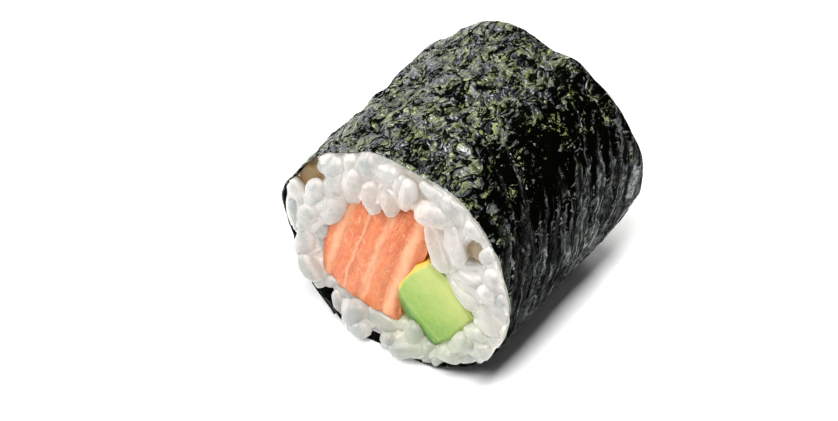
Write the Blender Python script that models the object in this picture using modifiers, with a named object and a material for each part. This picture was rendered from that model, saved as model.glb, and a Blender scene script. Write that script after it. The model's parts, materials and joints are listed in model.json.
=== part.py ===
"""A salmon and avocado sushi roll: one piece cut from a half-sheet roll, lying on its side.

A sheet of nori is rolled round a ring of rice, which holds a block of salmon and a wedge of avocado.
The roll's axis runs along Y, its shown cut end faces -Y, and its flattened underside lies at Z = 0.
Sections are drawn round the roll's axis: X to the right and Z up, as seen from the shown end.
"""

import math
import random

import bmesh
import bpy
import numpy as np
from mathutils import Matrix, Vector, noise

MM = 0.001

# The roll
ROLL_RADIUS = 15.0 * MM  # to the outside of the wrap
ROLL_LENGTH = 27.2 * MM  # between the two cut rims of the wrap
AXIS_HEIGHT = 14.3 * MM  # the underside is pressed flat, so this is less than the radius
GAP = 0.3 * MM  # clear space between two pieces that touch

# The nori: one sheet, whose last stretch lies over its first
SHEET = 0.3 * MM
SHEET_START = 205.0  # degrees round the axis, counted from +X towards +Z
SHEET_OVERLAP = 30.0
OVERLAP_GAP = 0.12 * MM
LIFT_RUN = 16.0  # degrees in which the last stretch climbs onto the first
SHEET_COLUMNS = 84
SHEET_ROWS = 12
CRINKLE_HEIGHT = 0.38 * MM
CRINKLE_PITCH = 4.2 * MM
RIM_WAVE = 0.2 * MM
SHOULDER = 0.4 * MM  # height over which the wrap turns into its flat underside

# Where the rolling mat left the wrap fuller or flatter: place in degrees, height, spread in degrees
MAT_MARKS = (
    (168.0, 0.75 * MM, 17.0),
    (247.0, 0.65 * MM, 10.0),
    (118.0, -0.55 * MM, 9.0),
    (75.0, -0.35 * MM, 9.0),
    (300.0, -0.65 * MM, 17.0),
)

# The rice
GRAIN_LENGTH = 5.3 * MM
GRAIN_WIDTH = 2.7 * MM
GRAIN_SIZES = (0.92, 1.06)  # smallest and largest, against the two above
GRAIN_SIDES = 6
GRAIN_RINGS = 4
GRAINS_PER_END = 54
SPREAD_TRIES = 24  # places tried for each grain, of which the emptiest is taken
RICE_CORE_SETBACK = 1.5 * MM  # from the rim of the wrap to the core under the grains
GRAIN_PROUD = 0.85 * MM  # how far the grains stand out past the rim
GRAIN_DEPTH = 1.8 * MM  # how far behind the rim the deepest middle of a grain lies
GRAIN_CLEARANCE = 0.55 * MM  # from the smooth sheet to a settled grain
CORE_SIDES = 44
SETTLING_STEPS = 80
SETTLING_WIDTH = 0.92  # width that a grain keeps free as it settles, against its own

# Places round the axis, in X and Z, where the rice falls short of the wrap
BARE_SPOTS = ((-12.2 * MM, 7.0 * MM), (-9.8 * MM, -9.6 * MM), (-2.8 * MM, -12.4 * MM), (9.9 * MM, 6.1 * MM))
BARE_RADIUS = 1.1 * MM

# The fillings: each section is a block between four corners, given in X and Z, and the middle
# of each of its sides stands out from straight by a bow
CORNER_ROUNDING = 0.16
FILLING_PROUD = 0.2 * MM  # how far the fillings stand out past the rim
FILLING_CLEARANCE = 0.4 * MM  # from a filling's side to the rice

SALMON_CORNERS = {
    "top_left": (-6.6 * MM, 7.3 * MM),
    "top_right": (5.1 * MM, 8.5 * MM),
    "bottom_right": (-0.6 * MM, -10.0 * MM),
    "bottom_left": (-11.2 * MM, -7.6 * MM),
}
SALMON_BOWS = {
    "top": (0.0, 0.5 * MM),
    "right": (0.1 * MM, 0.0),
    "bottom": (0.0, -0.4 * MM),
    "left": (-0.6 * MM, 0.2 * MM),
}
SALMON_CELLS = (16, 12)
SALMON_CROWN = 0.45 * MM  # fullness of the cut face
SALMON_FALL = 1.0 * MM  # how far the cut face lies back along its top edge, under the grains
DENT_HEIGHT = -4.3 * MM  # where the avocado presses into the salmon's right side
DENT_DEPTH = 1.05 * MM
DENT_SPREAD = 3.4 * MM
FLAKE_PITCH = 3.6 * MM
FLAKE_SLOPE = 0.34  # sideways run of the flakes for each unit up
FLAKE_BEND = 18.0  # sideways run for each metre squared from the middle height
FLAKE_DEPTH = 0.35 * MM

AVOCADO_CORNERS = {
    "top_left": (3.9 * MM, 2.7 * MM),
    "top_right": (10.7 * MM, -3.3 * MM),
    "bottom_right": (5.2 * MM, -10.7 * MM),
    "bottom_left": (-0.1 * MM, -6.4 * MM),
}
AVOCADO_BOWS = {
    "top": (0.2 * MM, 0.2 * MM),
    "right": (0.1 * MM, -0.1 * MM),
    "bottom": (-0.35 * MM, -0.45 * MM),
    "left": (-0.35 * MM, 0.15 * MM),
}
AVOCADO_CELLS = (8, 8)
AVOCADO_CROWN = 0.2 * MM

SEED = 11


def clear_scene():
    """Removes every object that the file opened with."""
    for thing in list(bpy.data.objects):
        bpy.data.objects.remove(thing, do_unlink=True)


def new_collection(name):
    """A collection of that name, in the scene."""
    made = bpy.data.collections.new(name)
    bpy.context.scene.collection.children.link(made)
    return made


def material(name, colour, roughness):
    """A plain finish for one kind of food."""
    made = bpy.data.materials.new(name)
    made.use_nodes = True
    shader = made.node_tree.nodes["Principled BSDF"]
    shader.inputs["Base Color"].default_value = (*colour, 1.0)
    shader.inputs["Roughness"].default_value = roughness
    shader.inputs["Metallic"].default_value = 0.0
    return made


def new_object(name, bm, collection, finish=None):
    """Turns a bmesh into a named object of the collection."""
    mesh = bpy.data.meshes.new(name)
    bm.to_mesh(mesh)
    bm.free()
    made = bpy.data.objects.new(name, mesh)
    collection.objects.link(made)
    if finish:
        mesh.materials.append(finish)
    return made


def smoothstep(t):
    """0 below 0, 1 above 1, and a smooth rise between them."""
    t = min(max(t, 0.0), 1.0)
    return t * t * (3.0 - 2.0 * t)


def turn_between(a, b):
    """The shorter turn from angle a to angle b, in degrees."""
    return (b - a + 180.0) % 360.0 - 180.0


def wrap_radius(angle):
    """Outer radius of the wrap at an angle in degrees, with the marks of the rolling mat."""
    radius = ROLL_RADIUS
    for place, height, spread in MAT_MARKS:
        radius += height * math.exp(-((turn_between(place, angle) / spread) ** 2))
    return radius


def press_flat(z, floor):
    """The height z pressed up to a flat floor, with a soft shoulder where it leaves it."""
    above = z - floor
    if above >= SHOULDER:
        return z
    if above <= -SHOULDER:
        return floor
    return floor + (above + SHOULDER) ** 2 / (4.0 * SHOULDER)


def round_axis(angle, radius, floor=-AXIS_HEIGHT):
    """The X and Z of a point round the axis, pressed flat underneath."""
    turn = math.radians(angle)
    return radius * math.cos(turn), press_flat(radius * math.sin(turn), floor)


def crinkle(x, y, z):
    """How far the moist sheet stands out or in at a point of the roll."""
    place = Vector((x, y, z)) / CRINKLE_PITCH
    return CRINKLE_HEIGHT * noise.noise(place)


def roll_sheet(along, across):
    """Places one point of the flat sheet on the roll: along its length and across it, each from 0 to 1."""
    turned = along * (360.0 + SHEET_OVERLAP)
    angle = SHEET_START + turned
    lift = smoothstep((turned - 360.0 + LIFT_RUN) / LIFT_RUN) * (SHEET + OVERLAP_GAP)
    inner = wrap_radius(angle) - SHEET + lift
    floor = SHEET - AXIS_HEIGHT
    y = (across - 0.5) * ROLL_LENGTH
    x, z = round_axis(angle, inner, floor)
    held = smoothstep((z - floor) / (1.5 * MM))
    x, z = round_axis(angle, inner + held * crinkle(x, y, z), floor)
    wave = RIM_WAVE * math.sin(math.radians(angle) * 5.0) * (across - 0.5) * 2.0
    return x, y + wave, z


def make_nori(collection, finish):
    """The wrap: a flat sheet, rolled up with its end lying over its start."""
    sheet = bmesh.new()
    bmesh.ops.create_grid(sheet, x_segments=SHEET_COLUMNS, y_segments=SHEET_ROWS, size=0.5)
    for vertex in sheet.verts:
        vertex.co = roll_sheet(vertex.co.x + 0.5, vertex.co.y + 0.5)
    bmesh.ops.reverse_faces(sheet, faces=sheet.faces)
    nori = new_object("nori", sheet, collection, finish)
    thickness = nori.modifiers.new("sheet", "SOLIDIFY")
    thickness.thickness = SHEET
    thickness.offset = 1.0
    return nori


def unit_block(columns, rows):
    """A block from -1 to 1 each way, its two ends along Y divided into columns and rows."""
    block = bmesh.new()
    upright = Matrix.Rotation(math.pi / 2, 4, "X")
    bmesh.ops.create_grid(block, x_segments=columns, y_segments=rows, size=1.0, matrix=upright)
    bmesh.ops.translate(block, verts=block.verts, vec=(0.0, -1.0, 0.0))
    grown = bmesh.ops.extrude_face_region(block, geom=block.faces[:])
    far_end = [item for item in grown["geom"] if isinstance(item, bmesh.types.BMVert)]
    bmesh.ops.translate(block, verts=far_end, vec=(0.0, 2.0, 0.0))
    bmesh.ops.recalc_face_normals(block, faces=block.faces)
    return block


class Filling:
    """A block of filling that runs through the roll, with both its ends cut alike."""

    def __init__(self, name, corners, bows, cells, crown):
        self.name = name
        self.corners = corners
        self.bows = bows
        self.cells = cells
        self.crown = crown

    def place(self, across, up):
        """Where a point of the unit square lies in the section, in X and Z."""
        right = (1.0 + across * math.sqrt(1.0 - CORNER_ROUNDING * up * up)) / 2.0
        top = (1.0 + up * math.sqrt(1.0 - CORNER_ROUNDING * across * across)) / 2.0
        shares = (
            (self.corners["top_left"], (1.0 - right) * top),
            (self.corners["top_right"], right * top),
            (self.corners["bottom_right"], right * (1.0 - top)),
            (self.corners["bottom_left"], (1.0 - right) * (1.0 - top)),
            (self.bows["top"], top * (1.0 - across * across)),
            (self.bows["right"], right * (1.0 - up * up)),
            (self.bows["bottom"], (1.0 - top) * (1.0 - across * across)),
            (self.bows["left"], (1.0 - right) * (1.0 - up * up)),
        )
        x = sum(point[0] * share for point, share in shares)
        z = sum(point[1] * share for point, share in shares)
        return x, z

    def proud(self, across, up):
        """How far the cut end stands past the rim of the wrap, fullest in its middle."""
        return FILLING_PROUD + self.crown * (1.0 - across * across) * (1.0 - up * up)

    def outline(self, steps=40):
        """Points round the section."""
        points = []
        for step in range(steps):
            side, along = divmod(step * 4.0 / steps, 1.0)
            run = along * 2.0 - 1.0
            across, up = ((run, 1.0), (1.0, -run), (-run, -1.0), (-1.0, run))[int(side)]
            points.append(self.place(across, up))
        return np.array(points)

    def make(self, collection, finish):
        """The block itself."""
        block = unit_block(*self.cells)
        for vertex in block.verts:
            across, along, up = vertex.co
            x, z = self.place(across, up)
            reach = ROLL_LENGTH / 2 + self.proud(across, up)
            vertex.co = (x, math.copysign(reach, along), z)
        return new_object(self.name, block, collection, finish)

    def make_cutter(self, collection):
        """The space that the block and its clearance take out of the rice, longer than the roll."""
        block = unit_block(*self.cells)
        middle = Vector(self.place(0.0, 0.0))
        for vertex in block.verts:
            across, along, up = vertex.co
            place = Vector(self.place(across, up))
            place += (place - middle).normalized() * FILLING_CLEARANCE
            vertex.co = (place.x, along * ROLL_LENGTH, place.y)
        cutter = new_object(self.name + "_space", block, collection)
        cutter.hide_render = True
        cutter.display_type = "WIRE"


class Salmon(Filling):
    """The salmon: its right side gives way to the avocado, and its cut ends show its flakes."""

    def place(self, across, up):
        """Where a point of the unit square lies in the section, in X and Z."""
        x, z = super().place(across, up)
        dent = DENT_DEPTH * math.exp(-(((z - DENT_HEIGHT) / DENT_SPREAD) ** 2))
        return x - dent * (0.5 + across / 2.0) ** 2, z

    def proud(self, across, up):
        """As on any filling, less the grooves between the flakes and the fall at the top edge."""
        x, z = self.place(across, up)
        across_flakes = x - FLAKE_SLOPE * z + FLAKE_BEND * z * z
        groove = (1.0 - abs(math.sin(math.pi * across_flakes / FLAKE_PITCH))) ** 2
        return super().proud(across, up) - FLAKE_DEPTH * groove - SALMON_FALL * max(0.0, up) ** 3


SALMON = Salmon("salmon", SALMON_CORNERS, SALMON_BOWS, SALMON_CELLS, SALMON_CROWN)
AVOCADO = Filling("avocado", AVOCADO_CORNERS, AVOCADO_BOWS, AVOCADO_CELLS, AVOCADO_CROWN)
FILLINGS = (SALMON, AVOCADO)


def inside(points, polygon):
    """Which points, in X and Z, lie inside a closed outline."""
    found = np.zeros(len(points), bool)
    for (x0, z0), (x1, z1) in zip(polygon, np.roll(polygon, -1, axis=0)):
        spans = (z0 > points[:, 1]) != (z1 > points[:, 1])
        if z0 != z1:
            cross_x = x0 + (points[:, 1] - z0) * (x1 - x0) / (z1 - z0)
            found ^= spans & (points[:, 0] < cross_x)
    return found


def push_out_of(points, polygon, clearance):
    """The moves that bring points out of an outline and a clearance away from it."""
    away = points[:, None, :] - polygon[None, :, :]
    distance = np.linalg.norm(away, axis=2)
    nearest = distance.argmin(axis=1)
    rows = np.arange(len(points))
    gap = distance[rows, nearest]
    direction = away[rows, nearest] / np.maximum(gap, 1e-9)[:, None]
    within = inside(points, polygon)
    signed = np.where(within, -gap, gap)
    direction = np.where(within[:, None], -direction, direction)
    return direction * np.maximum(clearance - signed, 0.0)[:, None]


def grain_beads(places, turns, half_lengths):
    """Three points along each grain, which stand for its body while it settles."""
    steps = np.array((-1.0, 0.0, 1.0))
    return places[:, None, :] + turns[:, None, :] * (half_lengths[:, None] * steps)[:, :, None]


def wall_moves(beads, radius):
    """The moves that keep beads inside the wrap, out of the fillings and in the layer at the end."""
    flat = beads.reshape(-1, 3)
    moves = np.zeros_like(flat)
    section = flat[:, (0, 2)]
    reach = np.linalg.norm(section, axis=1)
    angles = np.degrees(np.arctan2(section[:, 1], section[:, 0]))
    limit = np.array([wrap_radius(angle) for angle in angles]) - SHEET - GRAIN_CLEARANCE - radius
    outward = section / np.maximum(reach, 1e-9)[:, None]
    moves[:, (0, 2)] -= outward * np.maximum(reach - limit, 0.0)[:, None]
    low = SHEET + GRAIN_CLEARANCE + radius - AXIS_HEIGHT
    moves[:, 2] += np.maximum(low - flat[:, 2], 0.0)
    for filling in FILLINGS:
        moves[:, (0, 2)] += push_out_of(section, filling.outline(), radius * 0.75)
    for x, z in BARE_SPOTS:
        away = section - np.array((x, z))
        gap = np.linalg.norm(away, axis=1)
        push = np.maximum(BARE_RADIUS + radius - gap, 0.0)
        moves[:, (0, 2)] += away / np.maximum(gap, 1e-9)[:, None] * push[:, None]
    front = GRAIN_PROUD - radius
    moves[:, 1] -= np.maximum(flat[:, 1] - front, 0.0)
    moves[:, 1] += np.maximum(-GRAIN_DEPTH - flat[:, 1], 0.0)
    return moves.reshape(beads.shape)


def neighbour_moves(beads, radius):
    """The moves that part the beads of different grains."""
    count = len(beads)
    flat = beads.reshape(-1, 3)
    owner = np.repeat(np.arange(count), 3)
    away = flat[:, None, :] - flat[None, :, :]
    distance = np.linalg.norm(away, axis=2)
    overlap = np.maximum(2.0 * radius - distance, 0.0)
    overlap[owner[:, None] == owner[None, :]] = 0.0
    moves = (away / np.maximum(distance, 1e-9)[:, :, None] * overlap[:, :, None]).sum(axis=1)
    return 0.35 * moves.reshape(beads.shape)


def spread_places(draw):
    """Evenly spread places in the ring of rice at one end, with Y counted outwards from the rim."""
    outlines = [filling.outline() for filling in FILLINGS]
    places = []
    while len(places) < GRAINS_PER_END:
        best, best_room = None, -1.0
        for _ in range(SPREAD_TRIES):
            reach = (ROLL_RADIUS - GRAIN_WIDTH / 2) * math.sqrt(draw.random())
            x, z = round_axis(draw.uniform(0.0, 360.0), reach, GRAIN_WIDTH - AXIS_HEIGHT)
            if any(inside(np.array(((x, z),)), polygon)[0] for polygon in outlines):
                continue
            place = Vector((x, draw.uniform(-GRAIN_DEPTH, 0.0), z))
            room = min(((place - other).length for other in places), default=ROLL_RADIUS)
            if room > best_room:
                best, best_room = place, room
        if best:
            places.append(best)
    return np.array(places)


def settle_grains(seed):
    """Middles and directions of the grains at one end, after they have parted and settled."""
    draw = random.Random(seed)
    places = spread_places(draw)
    turns = []
    for _ in places:
        lean = draw.gauss(0.0, 0.4)
        swing = draw.uniform(0.0, math.pi)
        turns.append((math.cos(swing) * math.cos(lean), math.sin(lean), math.sin(swing) * math.cos(lean)))
    turns = np.array(turns)
    radius = GRAIN_WIDTH / 2 * SETTLING_WIDTH
    half_lengths = np.full(len(places), GRAIN_LENGTH / 2 - radius)
    for _ in range(SETTLING_STEPS):
        beads = grain_beads(places, turns, half_lengths)
        moves = neighbour_moves(beads, radius) + wall_moves(beads, radius)
        places = places + moves.mean(axis=1)
        turns = turns + 0.35 * (moves[:, 2] - moves[:, 0]) / half_lengths[:, None]
        turns /= np.linalg.norm(turns, axis=1)[:, None]
    return places, turns


def make_grain(place, turn, roll, scale, collection):
    """One plump grain, its length along the turn."""
    grain = bmesh.new()
    bmesh.ops.create_uvsphere(grain, u_segments=GRAIN_SIDES, v_segments=GRAIN_RINGS, radius=1.0)
    half = Vector((GRAIN_WIDTH, GRAIN_WIDTH, GRAIN_LENGTH)) / 2 * scale
    bmesh.ops.scale(grain, verts=grain.verts, vec=half)
    upright = turn.to_track_quat("Z", "Y").to_matrix().to_4x4()
    upright = Matrix.Translation(place) @ upright @ Matrix.Rotation(roll, 4, "Z")
    bmesh.ops.transform(grain, verts=grain.verts, matrix=upright)
    return new_object("grain", grain, collection)


def scatter_grains(collection):
    """The grains that show at both cut ends."""
    draw = random.Random(SEED)
    for end, seed in ((-1.0, SEED), (1.0, SEED + 1)):
        places, turns = settle_grains(seed)
        for place, turn in zip(places, turns):
            where = Vector((place[0], end * (ROLL_LENGTH / 2 + place[1]), place[2]))
            facing = Vector((turn[0], end * turn[1], turn[2]))
            make_grain(where, facing, draw.uniform(0.0, math.pi), draw.uniform(*GRAIN_SIZES), collection)


def rice_core():
    """The packed rice behind the grains that show, as a plain log inside the wrap."""
    log = bmesh.new()
    depth = ROLL_LENGTH - 2 * RICE_CORE_SETBACK
    along_y = Matrix.Rotation(-math.pi / 2, 4, "X")
    bmesh.ops.create_cone(
        log,
        cap_ends=True,
        segments=CORE_SIDES,
        radius1=ROLL_RADIUS,
        radius2=ROLL_RADIUS,
        depth=depth,
        matrix=along_y,
    )
    for vertex in log.verts:
        angle = math.degrees(math.atan2(vertex.co.z, vertex.co.x))
        radius = wrap_radius(angle) - SHEET - CRINKLE_HEIGHT - GAP
        x, z = round_axis(angle, radius, SHEET + GAP - AXIS_HEIGHT)
        vertex.co = (x, vertex.co.y, z)
    return log


def apply_boolean(target, operation, collection):
    """Joins a collection to a mesh, or cuts it out, and keeps the result in the mesh."""
    boolean = target.modifiers.new(operation.lower(), "BOOLEAN")
    boolean.operation = operation
    boolean.solver = "EXACT"
    boolean.operand_type = "COLLECTION"
    boolean.collection = collection
    evaluated = target.evaluated_get(bpy.context.evaluated_depsgraph_get())
    old_mesh = target.data
    target.data = bpy.data.meshes.new_from_object(evaluated)
    target.modifiers.clear()
    bpy.data.meshes.remove(old_mesh)


def keep_main_body(target):
    """Drops the loose scraps and the sealed hollows that fusing leaves."""
    bm = bmesh.new()
    bm.from_mesh(target.data)
    bmesh.ops.remove_doubles(bm, verts=bm.verts, dist=0.002 * MM)
    waiting, bodies = set(bm.verts), []
    while waiting:
        body, front = set(), [waiting.pop()]
        while front:
            vertex = front.pop()
            body.add(vertex)
            for edge in vertex.link_edges:
                other = edge.other_vert(vertex)
                if other in waiting:
                    waiting.remove(other)
                    front.append(other)
        bodies.append(body)
    main = max(bodies, key=len)
    bmesh.ops.delete(bm, geom=[v for v in bm.verts if v not in main], context="VERTS")
    bmesh.ops.triangulate(bm, faces=bm.faces)
    bm.to_mesh(target.data)
    bm.free()


def make_rice(collection, cutters, finish):
    """The rice: a log with the grains of both ends fused on, cut out round the fillings."""
    rice = new_object("rice", rice_core(), collection)
    grains = new_collection("grains")
    scatter_grains(grains)
    bpy.context.view_layer.update()
    apply_boolean(rice, "UNION", grains)
    for grain in list(grains.objects):
        bpy.data.objects.remove(grain, do_unlink=True)
    bpy.data.collections.remove(grains)
    for filling in FILLINGS:
        filling.make_cutter(cutters)
    bpy.context.view_layer.update()
    apply_boolean(rice, "DIFFERENCE", cutters)
    keep_main_body(rice)
    rice.data.materials.clear()
    rice.data.materials.append(finish)
    return rice


def main():
    """Builds the roll: the wrap, the rice and the two fillings, all round one axis."""
    clear_scene()
    roll = new_collection("salmon_avocado_roll")
    cutters = new_collection("cutters")
    axis = bpy.data.objects.new("roll_axis", None)
    axis.location = (0.0, 0.0, AXIS_HEIGHT)
    roll.objects.link(axis)

    nori = make_nori(roll, material("nori", (0.03, 0.042, 0.024), 0.45))
    rice = make_rice(roll, cutters, material("rice", (0.86, 0.85, 0.82), 0.4))
    salmon = SALMON.make(roll, material("salmon", (0.91, 0.36, 0.18), 0.35))
    avocado = AVOCADO.make(roll, material("avocado", (0.52, 0.7, 0.2), 0.4))
    for piece in (nori, rice, salmon, avocado):
        piece.parent = axis
        piece.data.shade_smooth()
        piece.data.set_sharp_from_angle(angle=math.radians(50))


main()
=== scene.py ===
"""The looks of a salmon and avocado sushi roll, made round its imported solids.

Lengths are in metres, unless a name or a comment says millimetres. Sections are drawn round the
roll's axis, X to the right and Z up as seen from the shown cut end, which faces -Y.
"""

import json
import logging
import math
import random
from collections.abc import Iterable
from dataclasses import dataclass, field
from enum import Enum

import bmesh
import bpy
import numpy as np
from mathutils import Matrix, Vector, noise

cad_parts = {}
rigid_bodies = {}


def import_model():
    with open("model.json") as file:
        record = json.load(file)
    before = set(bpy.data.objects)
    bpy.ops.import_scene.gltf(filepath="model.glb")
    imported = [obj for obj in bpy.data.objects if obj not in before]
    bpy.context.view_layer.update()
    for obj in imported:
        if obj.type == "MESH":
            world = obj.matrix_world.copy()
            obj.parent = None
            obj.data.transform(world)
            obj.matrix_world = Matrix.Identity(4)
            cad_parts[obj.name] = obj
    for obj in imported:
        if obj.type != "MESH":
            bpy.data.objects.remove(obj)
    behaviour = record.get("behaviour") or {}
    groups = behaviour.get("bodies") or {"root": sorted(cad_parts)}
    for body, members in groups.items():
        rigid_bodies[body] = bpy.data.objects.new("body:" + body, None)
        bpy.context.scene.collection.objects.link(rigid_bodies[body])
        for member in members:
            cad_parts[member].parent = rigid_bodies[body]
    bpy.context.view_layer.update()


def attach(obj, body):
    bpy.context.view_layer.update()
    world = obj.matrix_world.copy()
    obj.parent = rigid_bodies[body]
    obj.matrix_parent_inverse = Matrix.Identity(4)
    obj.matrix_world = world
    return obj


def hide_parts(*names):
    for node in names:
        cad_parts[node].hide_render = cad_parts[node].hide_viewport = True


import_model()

log = logging.getLogger("sushi_roll")

MM = 0.001
BODY = "root"

Colour = tuple[float, float, float, float]


def srgb(red: int, green: int, blue: int) -> Colour:
    """Turns a colour as seen on a screen, 0 to 255, into a shader's linear one.

    Args:
        red: Share of red.
        green: Share of green.
        blue: Share of blue.

    Returns:
        The linear colour, opaque.
    """
    shares = (value / 255.0 for value in (red, green, blue))
    linear = [s / 12.92 if s <= 0.04045 else ((s + 0.055) / 1.055) ** 2.4 for s in shares]
    return (*linear, 1.0)


def smoothstep(low: float, high: float, value: np.ndarray | float) -> np.ndarray:
    """A smooth rise from 0 at low to 1 at high.

    Args:
        low: Where the rise starts.
        high: Where the rise ends.
        value: The numbers to read it at.

    Returns:
        The rise at each number.
    """
    t = np.clip((np.asarray(value, float) - low) / (high - low), 0.0, 1.0)
    return t * t * (3.0 - 2.0 * t)


def noise_at(points: np.ndarray, pitch: float, offset: float = 0.0) -> np.ndarray:
    """Smooth noise from -1 to 1 at many points.

    Args:
        points: One point in each row.
        pitch: The size of its lumps.
        offset: Moves the pattern, so that two of one pitch differ.

    Returns:
        One number for each point.
    """
    shift = Vector((offset, -offset, 0.5 * offset))
    return np.array([noise.noise(Vector(point) / pitch + shift) for point in points])


def turn_from(middle: float, angle: np.ndarray) -> np.ndarray:
    """Degrees from a middle direction to each angle, from -180 to 180."""
    return (angle - middle + 180.0) % 360.0 - 180.0


# ---------------------------------------------------------------------------------------------
# The roll's form, as in its solids


@dataclass(frozen=True)
class MatMark:
    """Where the rolling mat left the wrap fuller or flatter: degrees round the axis, height, spread."""

    place: float
    height: float
    spread: float

    def rise_at(self, angle: np.ndarray) -> np.ndarray:
        """How far the wrap stands out or in at each angle."""
        return self.height * np.exp(-((turn_from(self.place, angle) / self.spread) ** 2))


@dataclass(frozen=True)
class RollShape:
    """The driving sizes of the roll, and the forms that follow from them."""

    radius: float = 15.0 * MM
    length: float = 27.2 * MM
    axis_height: float = 14.3 * MM
    sheet: float = 0.3 * MM
    shoulder: float = 0.4 * MM
    crinkle_height: float = 0.38 * MM
    crinkle_pitch: float = 4.2 * MM
    marks: tuple[MatMark, ...] = (
        MatMark(168.0, 0.75 * MM, 17.0),
        MatMark(247.0, 0.65 * MM, 10.0),
        MatMark(118.0, -0.55 * MM, 9.0),
        MatMark(75.0, -0.35 * MM, 9.0),
        MatMark(300.0, -0.65 * MM, 17.0),
    )

    def wrap_radius(self, angle: np.ndarray | float) -> np.ndarray:
        """Outer radius of the wrap.

        Args:
            angle: Degrees round the axis, from +X towards +Z.

        Returns:
            The radius at each angle.
        """
        angle = np.asarray(angle, float)
        radius = np.full(angle.shape, self.radius)
        for mark in self.marks:
            radius = radius + mark.rise_at(angle)
        return radius

    def press_flat(self, z: np.ndarray, floor: float) -> np.ndarray:
        """Presses heights up to a flat floor, with a soft shoulder where they leave it.

        Args:
            z: Heights from the axis.
            floor: The lowest height.

        Returns:
            The heights, none below the floor.
        """
        above = z - floor
        soft = (above + self.shoulder) ** 2 / (4.0 * self.shoulder)
        return floor + np.where(above >= self.shoulder, above, np.where(above <= -self.shoulder, 0.0, soft))

    def section(self, angle: np.ndarray, radius: np.ndarray, floor: float) -> tuple[np.ndarray, np.ndarray]:
        """Points round the axis, pressed flat underneath.

        Args:
            angle: Degrees round the axis.
            radius: Distance from the axis before pressing.
            floor: The lowest height.

        Returns:
            Their X and their Z from the axis.
        """
        turn = np.radians(angle)
        return radius * np.cos(turn), self.press_flat(radius * np.sin(turn), floor)

    def crinkle(self, points: np.ndarray) -> np.ndarray:
        """How far the moist sheet stands out or in, in its largest waves.

        Args:
            points: Places round the axis.

        Returns:
            One height for each place.
        """
        return self.crinkle_height * noise_at(points, self.crinkle_pitch)


ROLL = RollShape()


class End(Enum):
    """A cut end of the roll, and which way along Y it faces."""

    SHOWN = -1.0
    FAR = 1.0


class Kind(Enum):
    """What an attribute holds for each point."""

    NUMBER = "FLOAT"
    WHOLE = "INT"
    VECTOR = "FLOAT_VECTOR"
    TURN = "QUATERNION"


def add_object(name: str, data: bpy.types.ID) -> bpy.types.Object:
    """Puts an object into the scene.

    Args:
        name: The object's name.
        data: Its mesh, light or camera.

    Returns:
        The object.
    """
    made = bpy.data.objects.new(name, data)
    bpy.context.scene.collection.objects.link(made)
    return made


def new_mesh_object(name: str, points: np.ndarray, faces: Iterable[tuple[int, ...]]) -> bpy.types.Object:
    """A smooth object from points that are given from the roll's axis.

    Args:
        name: The piece's name.
        points: Places from the axis.
        faces: The points of each face.

    Returns:
        The object, with its place in its mesh.
    """
    lifted = np.array(points, float) + (0.0, 0.0, ROLL.axis_height)
    mesh = bpy.data.meshes.new(name)
    mesh.from_pydata(lifted.tolist(), [], list(faces))
    mesh.update()
    mesh.shade_smooth()
    return add_object(name, mesh)


def read_vectors(source: bpy.types.bpy_prop_collection, name: str) -> np.ndarray:
    """Reads a vector from each item of a collection.

    Args:
        source: The collection, such as a mesh's points.
        name: The vector's name in each item.

    Returns:
        One vector in each row.
    """
    flat = np.empty(len(source) * 3)
    source.foreach_get(name, flat)
    return flat.reshape(-1, 3)


def mesh_points(mesh: bpy.types.Mesh) -> np.ndarray:
    """A mesh's points, one in each row, counted from the roll's axis."""
    return read_vectors(mesh.vertices, "co") - (0.0, 0.0, ROLL.axis_height)


def store(mesh: bpy.types.Mesh, name: str, values: np.ndarray | list, kind: Kind = Kind.NUMBER) -> None:
    """Keeps a value for each point of a mesh, for its material or a modifier to read.

    Args:
        mesh: The mesh.
        name: The attribute's name.
        values: The values.
        kind: What they are.
    """
    attribute = mesh.attributes.new(name, kind.value, "POINT")
    number = np.int32 if kind is Kind.WHOLE else np.float32
    part = "vector" if kind is Kind.VECTOR else "value"
    attribute.data.foreach_set(part, np.asarray(values, number).ravel())


def bake(piece: bpy.types.Object, modifier: bpy.types.Modifier) -> None:
    """Gives a piece the mesh that its modifier makes, in place of the modifier.

    Args:
        piece: The piece.
        modifier: Its only modifier.
    """
    evaluated = piece.evaluated_get(bpy.context.evaluated_depsgraph_get())
    mesh = bpy.data.meshes.new_from_object(evaluated)
    piece.modifiers.remove(modifier)
    piece.data = mesh
    mesh.name = piece.name


# ---------------------------------------------------------------------------------------------
# Node trees


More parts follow.
